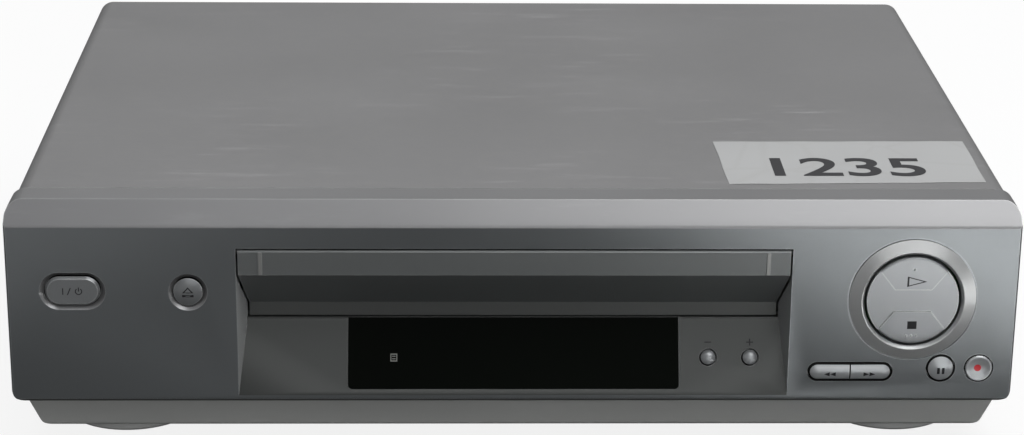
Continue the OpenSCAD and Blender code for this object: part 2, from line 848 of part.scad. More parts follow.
module feet() {
    placed() color("lightgray") {
        for (side = [-1, 1], d = foot_d) {
            difference() {
                union() {
                    post([side * foot_x, d], foot_r, pad_t + 1, foot_h);
                    translate([side * foot_x, d, pad_t]) cylinder(r1 = foot_r - 1, r2 = foot_r, h = 1);
                }
                post([side * foot_x, d], foot_r - 4, pad_t - past, pad_t + 0.6);
            }
        }
    }
}

module foot_pads() {
    placed() color("dimgray") {
        for (side = [-1, 1], d = foot_d) {
            post([side * foot_x, d], foot_r - 4.1, 0, pad_t + 0.6);
        }
    }
}

module top_cover() {
    cover_d0 = seam_d + near;
    placed() color("gray") difference() {
        union() {
            along_d(cover_d0, case_d) difference() {
                arch(cover_half, face_z0, case_h, bend_r);
                arch(cover_half - steel, face_z0 - past, case_h - steel, bend_r - steel);
            }
            along_d(case_d - steel, case_d) arch(cover_half - steel / 2, case_h - 10, case_h - steel / 2, bend_r - steel / 2);
        }
        both_sides() {
            for (i = [0 : 11], row = [0, 1]) {
                block([cover_half - 2, cover_half + 1], [case_d - 104 + 6 * i, case_d - 102 + 6 * i],
                    [face_z0 + 26 + 18 * row, face_z0 + 39 + 18 * row]);
            }
            for (d = [62, case_d - 38]) {
                rod_x(d, face_z0 + 9, 2.1, cover_half - 2, cover_half + 1);
            }
        }
        for (x = [-0.34, 0, 0.34]) {
            rod_d(x * face_w, case_h - 6, 2.1, case_d - 2, case_d + 1);
        }
    }
}

module cover_screws() {
    placed() color("gainsboro") {
        both_sides() {
            for (d = [62, case_d - 38]) {
                rod_x(d, face_z0 + 9, 3.6, cover_half, cover_half + 1.2);
                rod_x(d, face_z0 + 9, 1.6, rim_half - rim_t - 3, cover_half + 0.5);
            }
        }
        for (x = [-0.34, 0, 0.34]) {
            rod_d(x * face_w, case_h - 6, 3.6, case_d, case_d + 1.2);
            rod_d(x * face_w, case_h - 6, 1.6, rear_d - 3, case_d + 0.5);
        }
    }
}

// Back panel and sockets

module rear_panel() {
    placed() color("dimgray") difference() {
        along_d(rear_d, rear_face_d) arch(cover_half - steel - near, face_z0, case_h - steel - near, bend_r - steel);
        for (x = [-0.34, 0, 0.34]) {
            rod_d(x * face_w, case_h - 6, 1.75, rear_d - past, case_d);
        }
        for (z = scart_z) {
            block([scart_x - 24.3, scart_x + 24.3], [rear_d - past, case_d], [z - 7.3, z + 7.3]);
        }
        for (z = aerial_z) {
            rod_d(tuner_x, z, 6.9, rear_d - past, case_d);
        }
        for (x = phono_x) {
            rod_d(x, phono_z, 5.3, rear_d - past, case_d);
        }
        block([inlet_x - 11.3, inlet_x + 11.3], [rear_d - past, case_d], [inlet_z - 7.3, inlet_z + 7.3]);
        for (i = [0 : 9], row = [0, 1]) {
            block([60 + 5 * i, 62.5 + 5 * i], [rear_d - past, case_d], [48 + 16 * row, 60 + 16 * row]);
        }
    }
}

// One socket face: an outer frame, a plug shell groove and two rows of contact slits.
module scart_face(z) {
    groove = [[-22, -5.4], [22, -5.4], [22, 2.6], [19, 5.4], [-22, 5.4]];
    inner = [[-20.3, -3.7], [20.3, -3.7], [20.3, 1.9], [18.3, 3.7], [-20.3, 3.7]];
    translate([scart_x, 0, z]) {
        along_d(rear_face_d - 7, case_d + 2) difference() {
            polygon(groove);
            polygon(inner);
        }
        for (i = [0 : 9]) {
            block([-18.2 + 3.81 * i, -16.6 + 3.81 * i], [rear_face_d - 6, case_d + 2], [-2.9, -0.8]);
            block([-16.3 + 3.81 * i, -14.7 + 3.81 * i], [rear_face_d - 6, case_d + 2], [0.8, 2.9]);
        }
    }
}

module scart_sockets() {
    placed() color("#222222") difference() {
        union() {
            block([scart_x - 26, scart_x + 26], [rear_d - 18, body_back], [board_top, scart_z[1] + 9]);
            for (z = scart_z) {
                block([scart_x - 24, scart_x + 24], [rear_d - 18, case_d + 0.6], [z - 7, z + 7]);
            }
        }
        for (z = scart_z) {
            scart_face(z);
        }
    }
}

module tuner_can() {
    placed() color("gainsboro") difference() {
        union() {
            block([tuner_x - 11, tuner_x + 11], [rear_d - 62, body_back], [board_top, aerial_z[0] + 14]);
            for (i = [0 : 5]) {
                block([tuner_x - 11.4, tuner_x + 11.4], [rear_d - 58 + 10 * i, rear_d - 52 + 10 * i],
                    [board_top + 8, aerial_z[0] + 9]);
            }
        }
        for (z = aerial_z) {
            rod_d(tuner_x, z, 5, body_back - 2, rear_d);
        }
    }
}

module aerial_in_socket() {
    tip = case_d + plug_reach;
    placed() color("gainsboro") difference() {
        union() {
            rod_d(tuner_x, aerial_z[0], 4.95, body_back - 1.9, rear_face_d + 1);
            rod_d(tuner_x, aerial_z[0], 6.6, rear_d - near, rear_face_d + 2);
            rod_d(tuner_x, aerial_z[0], aerial_in_r + 0.9, rear_face_d, tip);
        }
        difference() {
            rod_d(tuner_x, aerial_z[0], aerial_in_r, tip - 9, tip + past);
            rod_d(tuner_x, aerial_z[0], 1.9, tip - 10, tip - 1.5);
        }
        rod_d(tuner_x, aerial_z[0], 1.25, tip - 9, tip + past);
    }
}

module aerial_out_plug() {
    tip = case_d + plug_reach;
    placed() color("gainsboro") difference() {
        union() {
            rod_d(tuner_x, aerial_z[1], 4.95, body_back - 1.9, rear_face_d);
            rod_d(tuner_x, aerial_z[1], 6.6, rear_d - near, rear_face_d + 1.6);
            rod_d(tuner_x, aerial_z[1], aerial_out_r, rear_face_d, tip);
        }
        difference() {
            rod_d(tuner_x, aerial_z[1], aerial_out_r - 0.5, tip - 9, tip + past);
            rod_d(tuner_x, aerial_z[1], 1.15, tip - 10, tip - 0.5);
        }
    }
}

module phono_block() {
    placed() color("#222222") difference() {
        union() {
            block([phono_x[0] - 8, phono_x[1] + 8], [rear_d - 13, body_back], [board_top, phono_z + 8]);
            for (x = phono_x) {
                rod_d(x, phono_z, 5, rear_d - 2, rear_face_d + 0.8);
                rod_d(x, phono_z, phono_r - 0.75, rear_d - 2, rear_face_d + 8.3);
            }
        }
        for (x = phono_x) {
            rod_d(x, phono_z, 1.65, rear_d - 8, case_d + 12);
        }
    }
}

module phono_shells() {
    placed() color("gainsboro") {
        for (x = phono_x) {
            difference() {
                rod_d(x, phono_z, phono_r, rear_face_d + 0.8, rear_face_d + 9.3);
                rod_d(x, phono_z, phono_r - 0.65, rear_face_d, rear_face_d + 10);
            }
        }
    }
}

module mains_inlet() {
    placed() color("#222222") difference() {
        union() {
            block([inlet_x - 13, inlet_x + 13], [rear_d - 16, body_back], [board_top, inlet_z + 9]);
            block([inlet_x - 11, inlet_x + 11], [rear_d - 16, case_d + 0.4], [inlet_z - 7, inlet_z + 7]);
        }
        difference() {
            union() {
                for (side = [-1, 1]) {
                    rod_d(inlet_x + side * 3.8, inlet_z, 4.4, rear_d - 12, case_d + 2);
                }
                block([inlet_x - 3.8, inlet_x + 3.8], [rear_d - 12, case_d + 2], [inlet_z - 3.9, inlet_z + 3.9]);
            }
            for (side = [-1, 1]) {
                rod_d(inlet_x + side * 4.3, inlet_z, 1.2, rear_d - 13, rear_d - 1.5);
            }
        }
    }
}

// Electronics

module chip(x, d, l, w, h) {
    block([x - l / 2, x + l / 2], [d - w / 2, d + w / 2], [board_top - 0.1, board_top + h]);
}

module main_board() {
    placed() color("saddlebrown") {
        along_z(board_z, board_top) polygon([
            [-board_half, seam_d + 10], [-zone_x, seam_d + 10], [-zone_x, deck_d1 + 4], [62, deck_d1 + 4],
            [62, rear_d - 4], [-board_half, rear_d - 4]]);
        chip(-zone_x - 34, 76, 22, 22, 2.4);
        chip(-zone_x - 30, 120, 30, 12, 4);
        chip(-zone_x - 44, 158, 18, 18, 2.4);
        chip(-zone_x - 14, 170, 10, 28, 8);
        for (i = [0 : 5]) {
            post([-zone_x - 12, 60 + 11 * i], 2.5, board_top - 0.1, board_top + 9);
        }
        for (i = [0 : 3]) {
            chip(-zone_x - 50, 100 + 9 * i, 7, 5, 6);
        }
    }
}

module supply_board() {
    placed() color("tan") {
        block([zone_x, board_half], [112, rear_d - 4], [board_z, board_top]);
        chip(inlet_x + 8, rear_d - 34, 12, 20, 14);
        chip(zone_x + 14, 128, 16, 10, 7);
        for (i = [0 : 3]) {
            post([zone_x + 8 + 9 * i, 145], 1.8, board_top - 0.1, board_top + 7);
        }
    }
}

module transformer() {
    x = zone_x + 40;
    d = case_d - 74;
    placed() color("darkslategray") {
        block([x - 17, x + 17], [d - 14, d - 9], [board_top, board_top + 28]);
        block([x - 17, x + 17], [d + 9, d + 14], [board_top, board_top + 28]);
        block([x - 15, x + 15], [d - 10, d + 10], [board_top + 4, board_top + 24]);
        rod_d(x, board_top + 14, 12.5, d - 9.5, d + 9.5);
    }
}

module capacitors() {
    x0 = zone_x + 14;
    placed() color("midnightblue") {
        post([x0 + 2, case_d - 48], 11, board_top, board_top + 30);
        for (i = [0 : 3]) {
            post([x0 + 14 * i, case_d - 106], 5, board_top, board_top + 18);
        }
    }
}

module heat_sink() {
    x0 = zone_x + 4;
    d0 = case_d - 96;
    placed() color("darkgray") {
        block([x0, x0 + 2], [d0, d0 + 34], [board_top, board_top + 32]);
        for (i = [0 : 6]) {
            block([x0 + 1, x0 + 11], [d0 + 5 * i, d0 + 5 * i + 1.4], [board_top + 8, board_top + 32]);
        }
    }
}

module front_boards() {
    placed() color("darkgreen") {
        both_sides() {
            block([pocket_half + 4.2, face_w / 2 - 5.2], [key_board_d, key_board_d + board_t],
                [face_z0 + 4, face_z0 + 60]);
        }
        on_panel() translate([-lens_half - 11, 1, -display_back - board_t])
            cube([lens_half + 11 + tray_edge - 0.8, slope_len - 1, board_t]);
    }
}

module key_switch(x, z) {
    facing(x, z) translate([0, 0, -key_board_d]) {
        translate([-3, -3, 0]) cube([6, 6, switch_h]);
        cylinder(r = 1.7, h = switch_h + plunger_h);
    }
}

module key_switches() {
    placed() color("#333333") {
        key_switch(power_x, power_z);
        key_switch(eject_x, eject_z);
        key_switch(ring_x, ring_z + rocker_stem_z);
        key_switch(ring_x, ring_z - rocker_stem_z);
        key_switch(seek_x - seek_l / 4, seek_z);
        key_switch(seek_x + seek_l / 4, seek_z);
        key_switch(pause_x, round_key_z);
        key_switch(record_x, round_key_z);
        on_panel() {
            for (x = program_x) {
                translate([x - 3, program_v - 3, -display_back]) cube([6, 6, switch_h]);
                translate([x, program_v, -display_back]) cylinder(r = 1.5, h = switch_h + plunger_h);
            }
        }
    }
}

module display_tube() {
    half = window_half - 8;
    placed() color("#20332e") on_panel() {
        translate([-half, 5, -display_back]) cube([2 * half, slope_len - 9, tube_w]);
        translate([half - 0.5, 12, -display_back + tube_w / 2]) rotate([0, 90, 0]) cylinder(r = 1.6, h = 4);
    }
}

// Deck

module guide_slot(side) {
    course = atan2(guide_run[1], side * guide_run[0]);
    translate([side * guide_rest[0], guide_rest[1]]) rotate(course) polygon(concat(
        [for (a = [-90 : 15 : 90]) [norm(guide_run), 0] + guide_slot_r * [cos(a), sin(a)]],
        [for (a = [90 : 15 : 270]) guide_slot_r * [cos(a), sin(a)]]));
}

module mecha_deck() {
    placed() color("lightslategray") difference() {
        union() {
            along_z(deck_z, deck_top) difference() {
                translate([-deck_half, deck_d0]) square([2 * deck_half, deck_d1 - deck_d0]);
                for (side = [-1, 1]) {
                    guide_slot(side);
                }
                translate([-20, deck_d0 - past]) square([40, 14]);
                translate([-96, 190]) square([34, 40]);
            }
            both_sides() {
                block([deck_half - 1.5, deck_half], [deck_d0, deck_d1], [deck_z - 5, deck_top]);
            }
            for (side = [-1, 1]) {
                post([side * reel_x, reel_d], reel_post_r, deck_z, deck_top + 8);
            }
            post(clutch, bush_r, deck_z - 1, deck_top + 1.2);
            post(pinch_pivot, 2, deck_z, deck_top + 12);
            post(tension_pivot, 1.6, deck_z, deck_top + 6);
            post(cam_gear_at, cam_post_r, deck_z, cam_z + cam_t + 1);
        }
        post(capstan, 4.6, deck_z - past, deck_top + past);
        post(clutch, clutch_shaft_r + run, deck_z - 2, deck_top + 3);
    }
}

module leaned() {
    translate([0, drum_d, deck_top]) rotate([0, drum_tilt, 0]) children();
}

module lower_drum() {
    placed() color("silver") difference() {
        intersection() {
            leaned() union() {
                translate([0, 0, drum_base_h]) cylinder(r = drum_r, h = drum_split - drum_base_h);
                translate([0, 0, -5]) cylinder(r = drum_r - 5, h = drum_base_h + 6);
                for (a = [45, 165, 285]) {
                    rotate(a) translate([0, -5, -5]) cube([drum_r + 3, 10, 8.5]);
                }
            }
            block([-60, 60], [drum_d - 60, drum_d + 60], [deck_top, deck_top + 60]);
        }
        leaned() {
            translate([0, 0, -6]) cylinder(r = drum_shaft_r + run, h = drum_split + 8);
            translate([0, 0, drum_base_h + 3]) difference() {
                cylinder(r = drum_r + 1, h = 1);
                translate([0, 0, -past]) cylinder(r = drum_r - 0.5, h = 3);
            }
        }
    }
}

module upper_drum() {
    placed() color("silver") leaned() {
        difference() {
            translate([0, 0, drum_split + 0.6]) cylinder(r = drum_r, h = drum_top - drum_split - 0.6);
            translate([0, 0, drum_top - 4]) difference() {
                cylinder(r = drum_r - 4, h = 5);
                translate([0, 0, -past]) cylinder(r = 12, h = 7);
            }
            for (a = [0, 180]) {
                rotate(a) translate([drum_r - 1.5, -2.5, drum_split]) cube([3, 5, 2.4]);
            }
            for (a = [30, 150, 270]) {
                rotate(a) translate([20, 0, drum_split + 3]) cylinder(r = 3, h = 20);
            }
        }
        translate([0, 0, drum_top - 1]) cylinder(r = 8, h = 4);
        translate([0, 0, 4]) cylinder(r = drum_shaft_r, h = drum_top - 2);
    }
}

module capstan_rotor() {
    placed() color("gainsboro") {
        post(capstan, capstan_r, capstan_foot, deck_top + 24);
        difference() {
            post(capstan, flywheel_r, capstan_foot, capstan_foot + 3.6);
            translate([capstan[0], capstan[1], capstan_foot - past]) difference() {
                cylinder(r = flywheel_r - 5, h = 2);
                translate([0, 0, -past]) cylinder(r = 7, h = 4);
            }
        }
        difference() {
            post(capstan, capstan_pulley_r + 0.8, capstan_foot + 3, pulley_z + pulley_t);
            translate([capstan[0], capstan[1], pulley_z + 0.5]) difference() {
                cylinder(r = capstan_pulley_r + 2, h = pulley_t - 1);
                translate([0, 0, -past]) cylinder(r = capstan_pulley_r, h = pulley_t + 2);
            }
        }
    }
}

module capstan_bearing() {
    placed() color("goldenrod") difference() {
        union() {
            post(capstan, 4.4, pulley_z + pulley_t + near, deck_top + 5);
            post(capstan, 8, deck_top, deck_top + 1.4);
        }
        post(capstan, capstan_r + run, deck_z - 6, deck_top + 9);
    }
}

module pinch_arm() {
    arm_z = deck_top + 6;
    placed() color("dimgray") difference() {
        union() {
            along_z(arm_z, arm_z + 1.6) slot_between(pinch_pivot, pinch_axis, 4);
            post(pinch_pivot, 4.6, deck_top + 0.5, deck_top + 11);
            post(pinch_axis, 1.5, arm_z, deck_top + 24);
            post(pinch_axis, 3.5, deck_top + 22.6, deck_top + 24);
        }
        post(pinch_pivot, 2 + run, deck_top, deck_top + 12);
    }
}

module pinch_roller() {
    placed() color("#1c1c1c") difference() {
        post(pinch_axis, pinch_r, deck_top + 8, deck_top + 22.2);
        post(pinch_axis, 1.5 + run, deck_top + 7, deck_top + 23);
    }
}

module reel_table(side) {
    at = [side * reel_x, reel_d];
    rim_z0 = deck_top + 0.6;
    placed() color("#2c2c2c") difference() {
        union() {
            post(at, reel_r, rim_z0, deck_top + 4);
            post(at, reel_r - 4, deck_top + 4, deck_top + 5.4);
            post(at, 5, deck_top + 5, deck_top + 15);
            translate([at[0], at[1], deck_top + 15]) cylinder(r1 = 5, r2 = 3, h = 2);
            for (a = [90, 210, 330]) {
                translate([at[0], at[1], deck_top + 5]) rotate(a) translate([0, -0.9, 0]) cube([10, 1.8, 7]);
            }
        }
        post(at, reel_post_r + run, rim_z0 - past, deck_top + 9);
    }
}

module supply_reel() {
    reel_table(-1);
}

module take_up_reel() {
    reel_table(1);
}

module idler_arm() {
    tip = clutch - [0, idler_l];
    placed() color("whitesmoke") difference() {
        union() {
            along_z(deck_top + 0.3, deck_top + 1.1) slot_between(clutch, tip, 5);
            post(tip, 2, deck_top + 0.3, wheel_z + wheel_t);
        }
        post(clutch, bush_r + run, deck_top, deck_top + 2);
    }
}

module idler_wheel() {
    tip = clutch - [0, idler_l];
    placed() color("#1c1c1c") difference() {
        post(tip, idler_r, wheel_z, wheel_z + wheel_t);
        post(tip, 2 + run, wheel_z - past, wheel_z + wheel_t + past);
        for (a = [0 : 60 : 300]) {
            translate([tip[0], tip[1], wheel_z - past]) rotate(a) translate([8, 0, 0]) cylinder(r = 2.6, h = 6);
        }
    }
}

module clutch_pulley() {
    placed() color("whitesmoke") {
        difference() {
            post(clutch, clutch_pulley_r + 0.8, pulley_z, pulley_z + pulley_t);
            translate([clutch[0], clutch[1], pulley_z + 0.5]) difference() {
                cylinder(r = clutch_pulley_r + 2, h = pulley_t - 1);
                translate([0, 0, -past]) cylinder(r = clutch_pulley_r, h = pulley_t + 2);
            }
            for (a = [0 : 72 : 288]) {
                translate([clutch[0], clutch[1], pulley_z - past]) rotate(a) translate([7.5, 0, 0]) cylinder(r = 2.4, h = 6);
            }
        }
        post(clutch, clutch_shaft_r, pulley_z, wheel_z + wheel_t);
        post(clutch, clutch_wheel_r, wheel_z, wheel_z + wheel_t);
    }
}

module belt_loop(extra) {
    hull() {
        translate(clutch) circle(clutch_pulley_r + extra);
        translate(capstan) circle(capstan_pulley_r + extra);
    }
}

module drive_belt() {
    belt_z = pulley_z + 0.9;
    placed() color("#1c1c1c") along_z(belt_z, belt_z + pulley_t - 1.8) difference() {
        belt_loop(1.3);
        belt_loop(0.3);
    }
}

module tension_arm() {
    tip = tension_pivot + tension_l * [cos(tension_rest), sin(tension_rest)];
    placed() color("dimgray") difference() {
        union() {
            along_z(deck_top + 2, deck_top + 3.4) slot_between(tension_pivot, tip, 3);
            post(tension_pivot, 3.4, deck_top + 0.4, deck_top + 5);
            post(tip, 1.4, deck_top + 2, deck_top + 24);
            post(tip, 2.6, deck_top + 6, deck_top + 7);
            post(tip, 2.6, deck_top + 21, deck_top + 22);
        }
        post(tension_pivot, 1.6 + run, deck_top, deck_top + 6);
    }
}

module tape_guide(side) {
    at = [side * guide_rest[0], guide_rest[1]];
    placed() color("gainsboro") {
        along_z(deck_top + 0.3, deck_top + 2.5) slot_between(at - [5, 0], at + [5, 0], 4);
        post(at, guide_slot_r - 0.2, deck_z - 1, deck_top + 1);
        post(at, 1.5, deck_top + 1, deck_top + 25);
        post(at, 3, deck_top + 5, deck_top + 21.5);
        post(at, 3.8, deck_top + 4, deck_top + 5);
        post(at, 3.8, deck_top + 21.5, deck_top + 22.5);
        translate([at[0] - side * 4.9, at[1], deck_top + 1]) rotate([0, -side * 5, 0]) cylinder(r = 1, h = 22);
    }
}

module supply_guide() {
    tape_guide(-1);
}

module take_up_guide() {
    tape_guide(1);
}

module erase_head() {
    placed() color("dimgray") {
        block([-82, -66], [170, 182], [deck_top, deck_top + 1.5]);
        block([-79, -69], [172, 178], [deck_top + 1, deck_top + 23]);
        rod_d(-74, deck_top + 14, 3.6, 170.6, 173);
    }
}

module audio_head() {
    placed() color("dimgray") translate([audio_at[0], audio_at[1], 0]) rotate(audio_turn) {
        block([-8.4, 10], [-4.8, 5], [deck_top, deck_top + 1.5]);
        block([-7.8, 9], [-4.2, 4.4], [deck_top + 4, deck_top + 5.4]);
        for (spot = [[-6.2, 0], [2.6, 2.6], [7.6, -1.4]]) {
            post(spot, 1.4, deck_top + 1, deck_top + 6.6);
        }
        block([-4.6, 4.6], [-4.2, 2.6], [deck_top + 5, deck_top + 23]);
    }
}

module loading_motor() {
    axis_z = cam_z + cam_t / 2;
    placed() color("silver") difference() {
        union() {
            rod_d(worm_x, axis_z, motor_r, motor_d[0], motor_d[1]);
            rod_d(worm_x, axis_z, 3, motor_d[1] - 1, motor_d[1] + 1.5);
            block([worm_x - 7, worm_x + 7], [motor_d[0] + 4, motor_d[1] - 4], [deck_top, axis_z - motor_r + 2]);
        }
        rod_d(worm_x, axis_z, 1 + run, motor_d[1] - 4, motor_d[1] + 2);
    }
}

module worm() {
    axis_z = cam_z + cam_t / 2;
    worm_l = 22;
    worm_d0 = motor_d[1] + 3;
    placed() color("gold") {
        rod_d(worm_x, axis_z, 1, motor_d[1] - 3, worm_d0 + 1);
        translate([worm_x, worm_d0 + worm_l, axis_z]) rotate([90, 0, 0]) rotate_extrude()
            polygon(concat([[0, 0]], [for (i = [0 : 8], step = [[2.8, 0.3], [worm_r, 0.9], [worm_r, 1.6], [2.8, 2.2]])
                [step[0], i * 2.4 + step[1]]], [[2.8, worm_l], [0, worm_l]]));
    }
}

module cam_gear() {
    placed() color("whitesmoke") difference() {
        union() {
            translate([cam_gear_at[0], cam_gear_at[1], cam_z]) linear_extrude(cam_t) gear_outline(cam_teeth, 0.8, 0.1);
            post(cam_gear_at, cam_r - 3.5, deck_top + 0.5, cam_z + 0.5);
            post(cam_gear_at, 5, cam_z, cam_z + cam_t + 0.6);
        }
        post(cam_gear_at, cam_post_r + run, deck_top, cam_z + cam_t + past);
        translate([cam_gear_at[0], cam_gear_at[1], cam_z + 2.4]) difference() {
            cylinder(r = cam_r - 3, h = 3);
            translate([0, 0, -past]) cylinder(r = 7, h = 5);
        }
    }
}

// Carriage

module carriage_side() {
    slot_end = slide_pin_d[1] + tray_travel;
    along_x(side_in, side_in + side_t) difference() {
        polygon([
            [side_d0, cassette_z - 8], [side_d0, side_top - 12], [side_d0 + 16, side_top - 3],
            [slider_d0 + 2, side_top + 1.4], [side_d1, side_top + 1.4], [side_d1, deck_top], [deck_d0 + 6, deck_top]]);
        slot_between([slide_pin_d[0], slide_pin_z], [slot_end, slide_pin_z], pin_r + 0.2);
        translate([pinion_d, shaft_z]) circle(shaft_r + run);
        for (d = [52, 132]) {
            translate([d, cassette_z - 6]) square([34, 18]);
        }
        translate([98, cassette_z - 16]) square([20, 30]);
    }
    for (d = [70, 150]) {
        block([side_in - 5, side_in + 0.5], [d, d + 18], [deck_top, deck_top + side_t]);
    }
}

module carriage_frame() {
    placed() color("lightsteelblue") {
        both_sides() carriage_side();
        for (d = [slider_d0 + 8, 150]) {
            block([-side_in - side_t, side_in + side_t], [d, d + 16], [side_top + 0.4, side_top + 1.4]);
        }
    }
}

module rack_outline() {
    count = floor((tray_travel + 8) / rack_pitch);
    first = pinion_d + rack_pitch / 2 + rack_pitch * 1;
    root = pitch_z - 1.15 * rack_module;
    tip = pitch_z + 0.9 * rack_module;
    for (i = [0 : count]) {
        polygon([for (c = [[-0.8, root - 0.5], [-0.8, root], [-0.26, tip], [0.26, tip], [0.8, root], [0.8, root - 0.5]])
            [first - i * rack_pitch + c[0] * rack_module, c[1]]]);
    }
}

module slider_side() {
    root = pitch_z - 1.15 * rack_module;
    along_x(slider_in, slider_in + slider_t) difference() {
        union() {
            translate([slider_d0, cassette_z - 4]) square([slider_d1 - slider_d0, root - cassette_z + 4]);
            intersection() {
                rack_outline();
                translate([slider_d0, 0]) square([slider_d1 - slider_d0, case_h]);
            }
        }
        for (d = tray_pin_d) {
            slot_between([d, tray_pin_z - tray_fall], [d, tray_pin_z], pin_r + 0.2);
        }
        translate([52, cassette_z]) square([20, 20]);
        translate([94, cassette_z]) square([14, 20]);
    }
    for (d = slide_pin_d) {
        rod_x(d, slide_pin_z, pin_r, slider_in + 0.5, side_in + side_t - 0.2);
    }
}

module carriage_slider() {
    placed() color("#3a3a3a") {
        both_sides() slider_side();
        block([-slider_in - 0.5, slider_in + 0.5], [92, 98], [tray_top + 2.1, tray_top + 4.4]);
    }
}

module tray_pinions() {
    placed() color("whitesmoke") {
        rod_x(pinion_d, shaft_z, shaft_r, -side_in - side_t - 0.8, side_in + side_t + 0.8);
        both_sides() translate([slider_in, pinion_d, shaft_z]) rotate([90, 0, 90])
            linear_extrude(slider_t) rotate(-90) gear_outline(pinion_teeth, rack_module, 0.2);
    }
}

module tray_side() {
    ledge_z = ledge_top - tray_t;
    along_x(tray_half - tray_t, tray_half) difference() {
        polygon([[tray_d0, ledge_z], [tray_d0, ledge_z + 10], [tray_cut_d, tray_pin_z - pin_r],
            [tray_cut_d, tray_top + tray_t], [tray_d1, tray_top + tray_t], [tray_d1, ledge_z]]);
        translate([52, cassette_z + 5]) square([22, 12]);
    }
    block([tray_edge, tray_half], [tray_d0, tray_d1], [ledge_z, ledge_top]);
    for (d = tray_pin_d) {
        rod_x(d, tray_pin_z, pin_r, tray_half - 0.6, slider_in + slider_t - 0.2);
    }
    block([tray_half - tray_t - 5, tray_half - 0.2], [tray_d1 - tray_t, tray_d1], [ledge_z, cassette_z + 5]);
}

module cassette_tray() {
    placed() color("lightsteelblue") {
        both_sides() tray_side();
        difference() {
            block([-tray_half, tray_half], [tray_cut_d, tray_d1], [tray_top, tray_top + tray_t]);
            for (x = [-70, 30]) {
                block([x, x + 40], [48, 76], [tray_top - past, tray_top + tray_t + past]);
            }
            block([-18, 18], [tray_d1 - 14, tray_d1 + past], [tray_top - past, tray_top + tray_t + past]);
        }
    }
}

front_panel();
cassette_door();
door_spring();
display_window();
power_button();
eject_button();
play_stop_rocker();
dial_ring();
rewind_button();
fast_forward_button();
pause_button();
record_button();
program_down_button();
program_up_button();
base_chassis();
feet();
foot_pads();
top_cover();
cover_screws();
rear_panel();
scart_sockets();
tuner_can();
aerial_in_socket();
aerial_out_plug();
phono_block();
phono_shells();
mains_inlet();
main_board();
supply_board();
transformer();
capacitors();
heat_sink();
front_boards();
key_switches();
display_tube();
mecha_deck();
lower_drum();
upper_drum();
capstan_rotor();
capstan_bearing();
pinch_arm();
pinch_roller();
supply_reel();
take_up_reel();
idler_arm();
idler_wheel();
clutch_pulley();
drive_belt();
tension_arm();
supply_guide();
take_up_guide();
erase_head();
audio_head();
loading_motor();
worm();
cam_gear();
carriage_frame();
carriage_slider();
tray_pinions();
cassette_tray();
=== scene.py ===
"""Video cassette recorder: finishes, printed marks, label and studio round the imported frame."""

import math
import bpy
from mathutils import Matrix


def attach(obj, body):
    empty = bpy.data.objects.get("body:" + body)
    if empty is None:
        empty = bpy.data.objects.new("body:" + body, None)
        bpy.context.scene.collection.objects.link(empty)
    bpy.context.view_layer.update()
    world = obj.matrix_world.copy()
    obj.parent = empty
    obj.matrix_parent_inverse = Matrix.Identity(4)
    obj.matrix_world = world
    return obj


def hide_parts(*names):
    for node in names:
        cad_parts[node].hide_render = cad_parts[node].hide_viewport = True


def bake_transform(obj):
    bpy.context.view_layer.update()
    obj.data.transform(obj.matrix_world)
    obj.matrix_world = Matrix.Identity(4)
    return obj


bl_info = {
    "name": "Video cassette recorder",
    "version": (1, 0, 0),
    "blender": (4, 5, 0),
    "location": "View3D > Sidebar > Recorder",
    "description": "Finishes, marks, label and studio for a front-loading video cassette recorder",
    "category": "Object",
}

import bmesh
import bpy
from bpy.props import FloatProperty, FloatVectorProperty, PointerProperty, StringProperty
from bpy.types import Operator, Panel, PropertyGroup
from mathutils import Matrix, Vector
from mathutils.bvhtree import BVHTree

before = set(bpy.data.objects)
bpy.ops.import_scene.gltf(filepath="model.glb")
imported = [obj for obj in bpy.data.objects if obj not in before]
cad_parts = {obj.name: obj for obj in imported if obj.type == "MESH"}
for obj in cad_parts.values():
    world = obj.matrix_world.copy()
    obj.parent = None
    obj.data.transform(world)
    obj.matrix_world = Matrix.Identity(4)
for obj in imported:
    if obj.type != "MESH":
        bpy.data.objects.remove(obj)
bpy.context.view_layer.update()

MM = 0.001
SAME_POINT = 1e-6  # m, points closer than this are one
FRONT_Y = -139.0  # mm, plane of the face
LID_Z = 94.0  # mm, top of the lid
RIGHT = Vector((1.0, 0.0, 0.0))
UP = Vector((0.0, 0.0, 1.0))
TOWARDS_VIEWER = Vector((0.0, -1.0, 0.0))

# The display panel leans back: its own directions, and the middle of its lower edge in mm
PANEL_TILT = math.radians(27.34)
PANEL_UP = Vector((0.0, math.sin(PANEL_TILT), math.cos(PANEL_TILT)))
PANEL_OUT = Vector((0.0, -math.cos(PANEL_TILT), math.sin(PANEL_TILT)))
PANEL_FOOT = Vector((0.0, FRONT_Y, 22.5))

LEFT_KEYS = ("power_button", "eject_button")
RIGHT_KEYS = ("rewind_button", "fast_forward_button", "pause_button", "record_button")
PROGRAM_KEYS = ("program_down_button", "program_up_button")


def face_point(x, z):
    return Vector((x, FRONT_Y, z))


def panel_point(x, along):
    return PANEL_FOOT + RIGHT * x + PANEL_UP * along


# Shader building

BUMP_STRENGTH = 0.6
COAT_ROUGHNESS = 0.12
SCUFF_LIGHTENS = 1.5
SCUFF_ROUGHENS = 0.25
DUST_ROUGHENS = 0.4
DUST_COLOUR = (0.52, 0.5, 0.47, 1.0)


def wire(tree, node, inputs):
    """Links or sets a node's inputs."""
    for key, value in inputs.items():
        socket = node.inputs[key]
        if isinstance(value, bpy.types.NodeSocket):
            tree.links.new(value, socket)
        else:
            socket.default_value = value


def add(tree, kind, inputs=None, **settings):
    """Adds a node with its settings and inputs."""
    node = tree.nodes.new(kind)
    for key, value in settings.items():
        setattr(node, key, value)
    wire(tree, node, inputs or {})
    return node


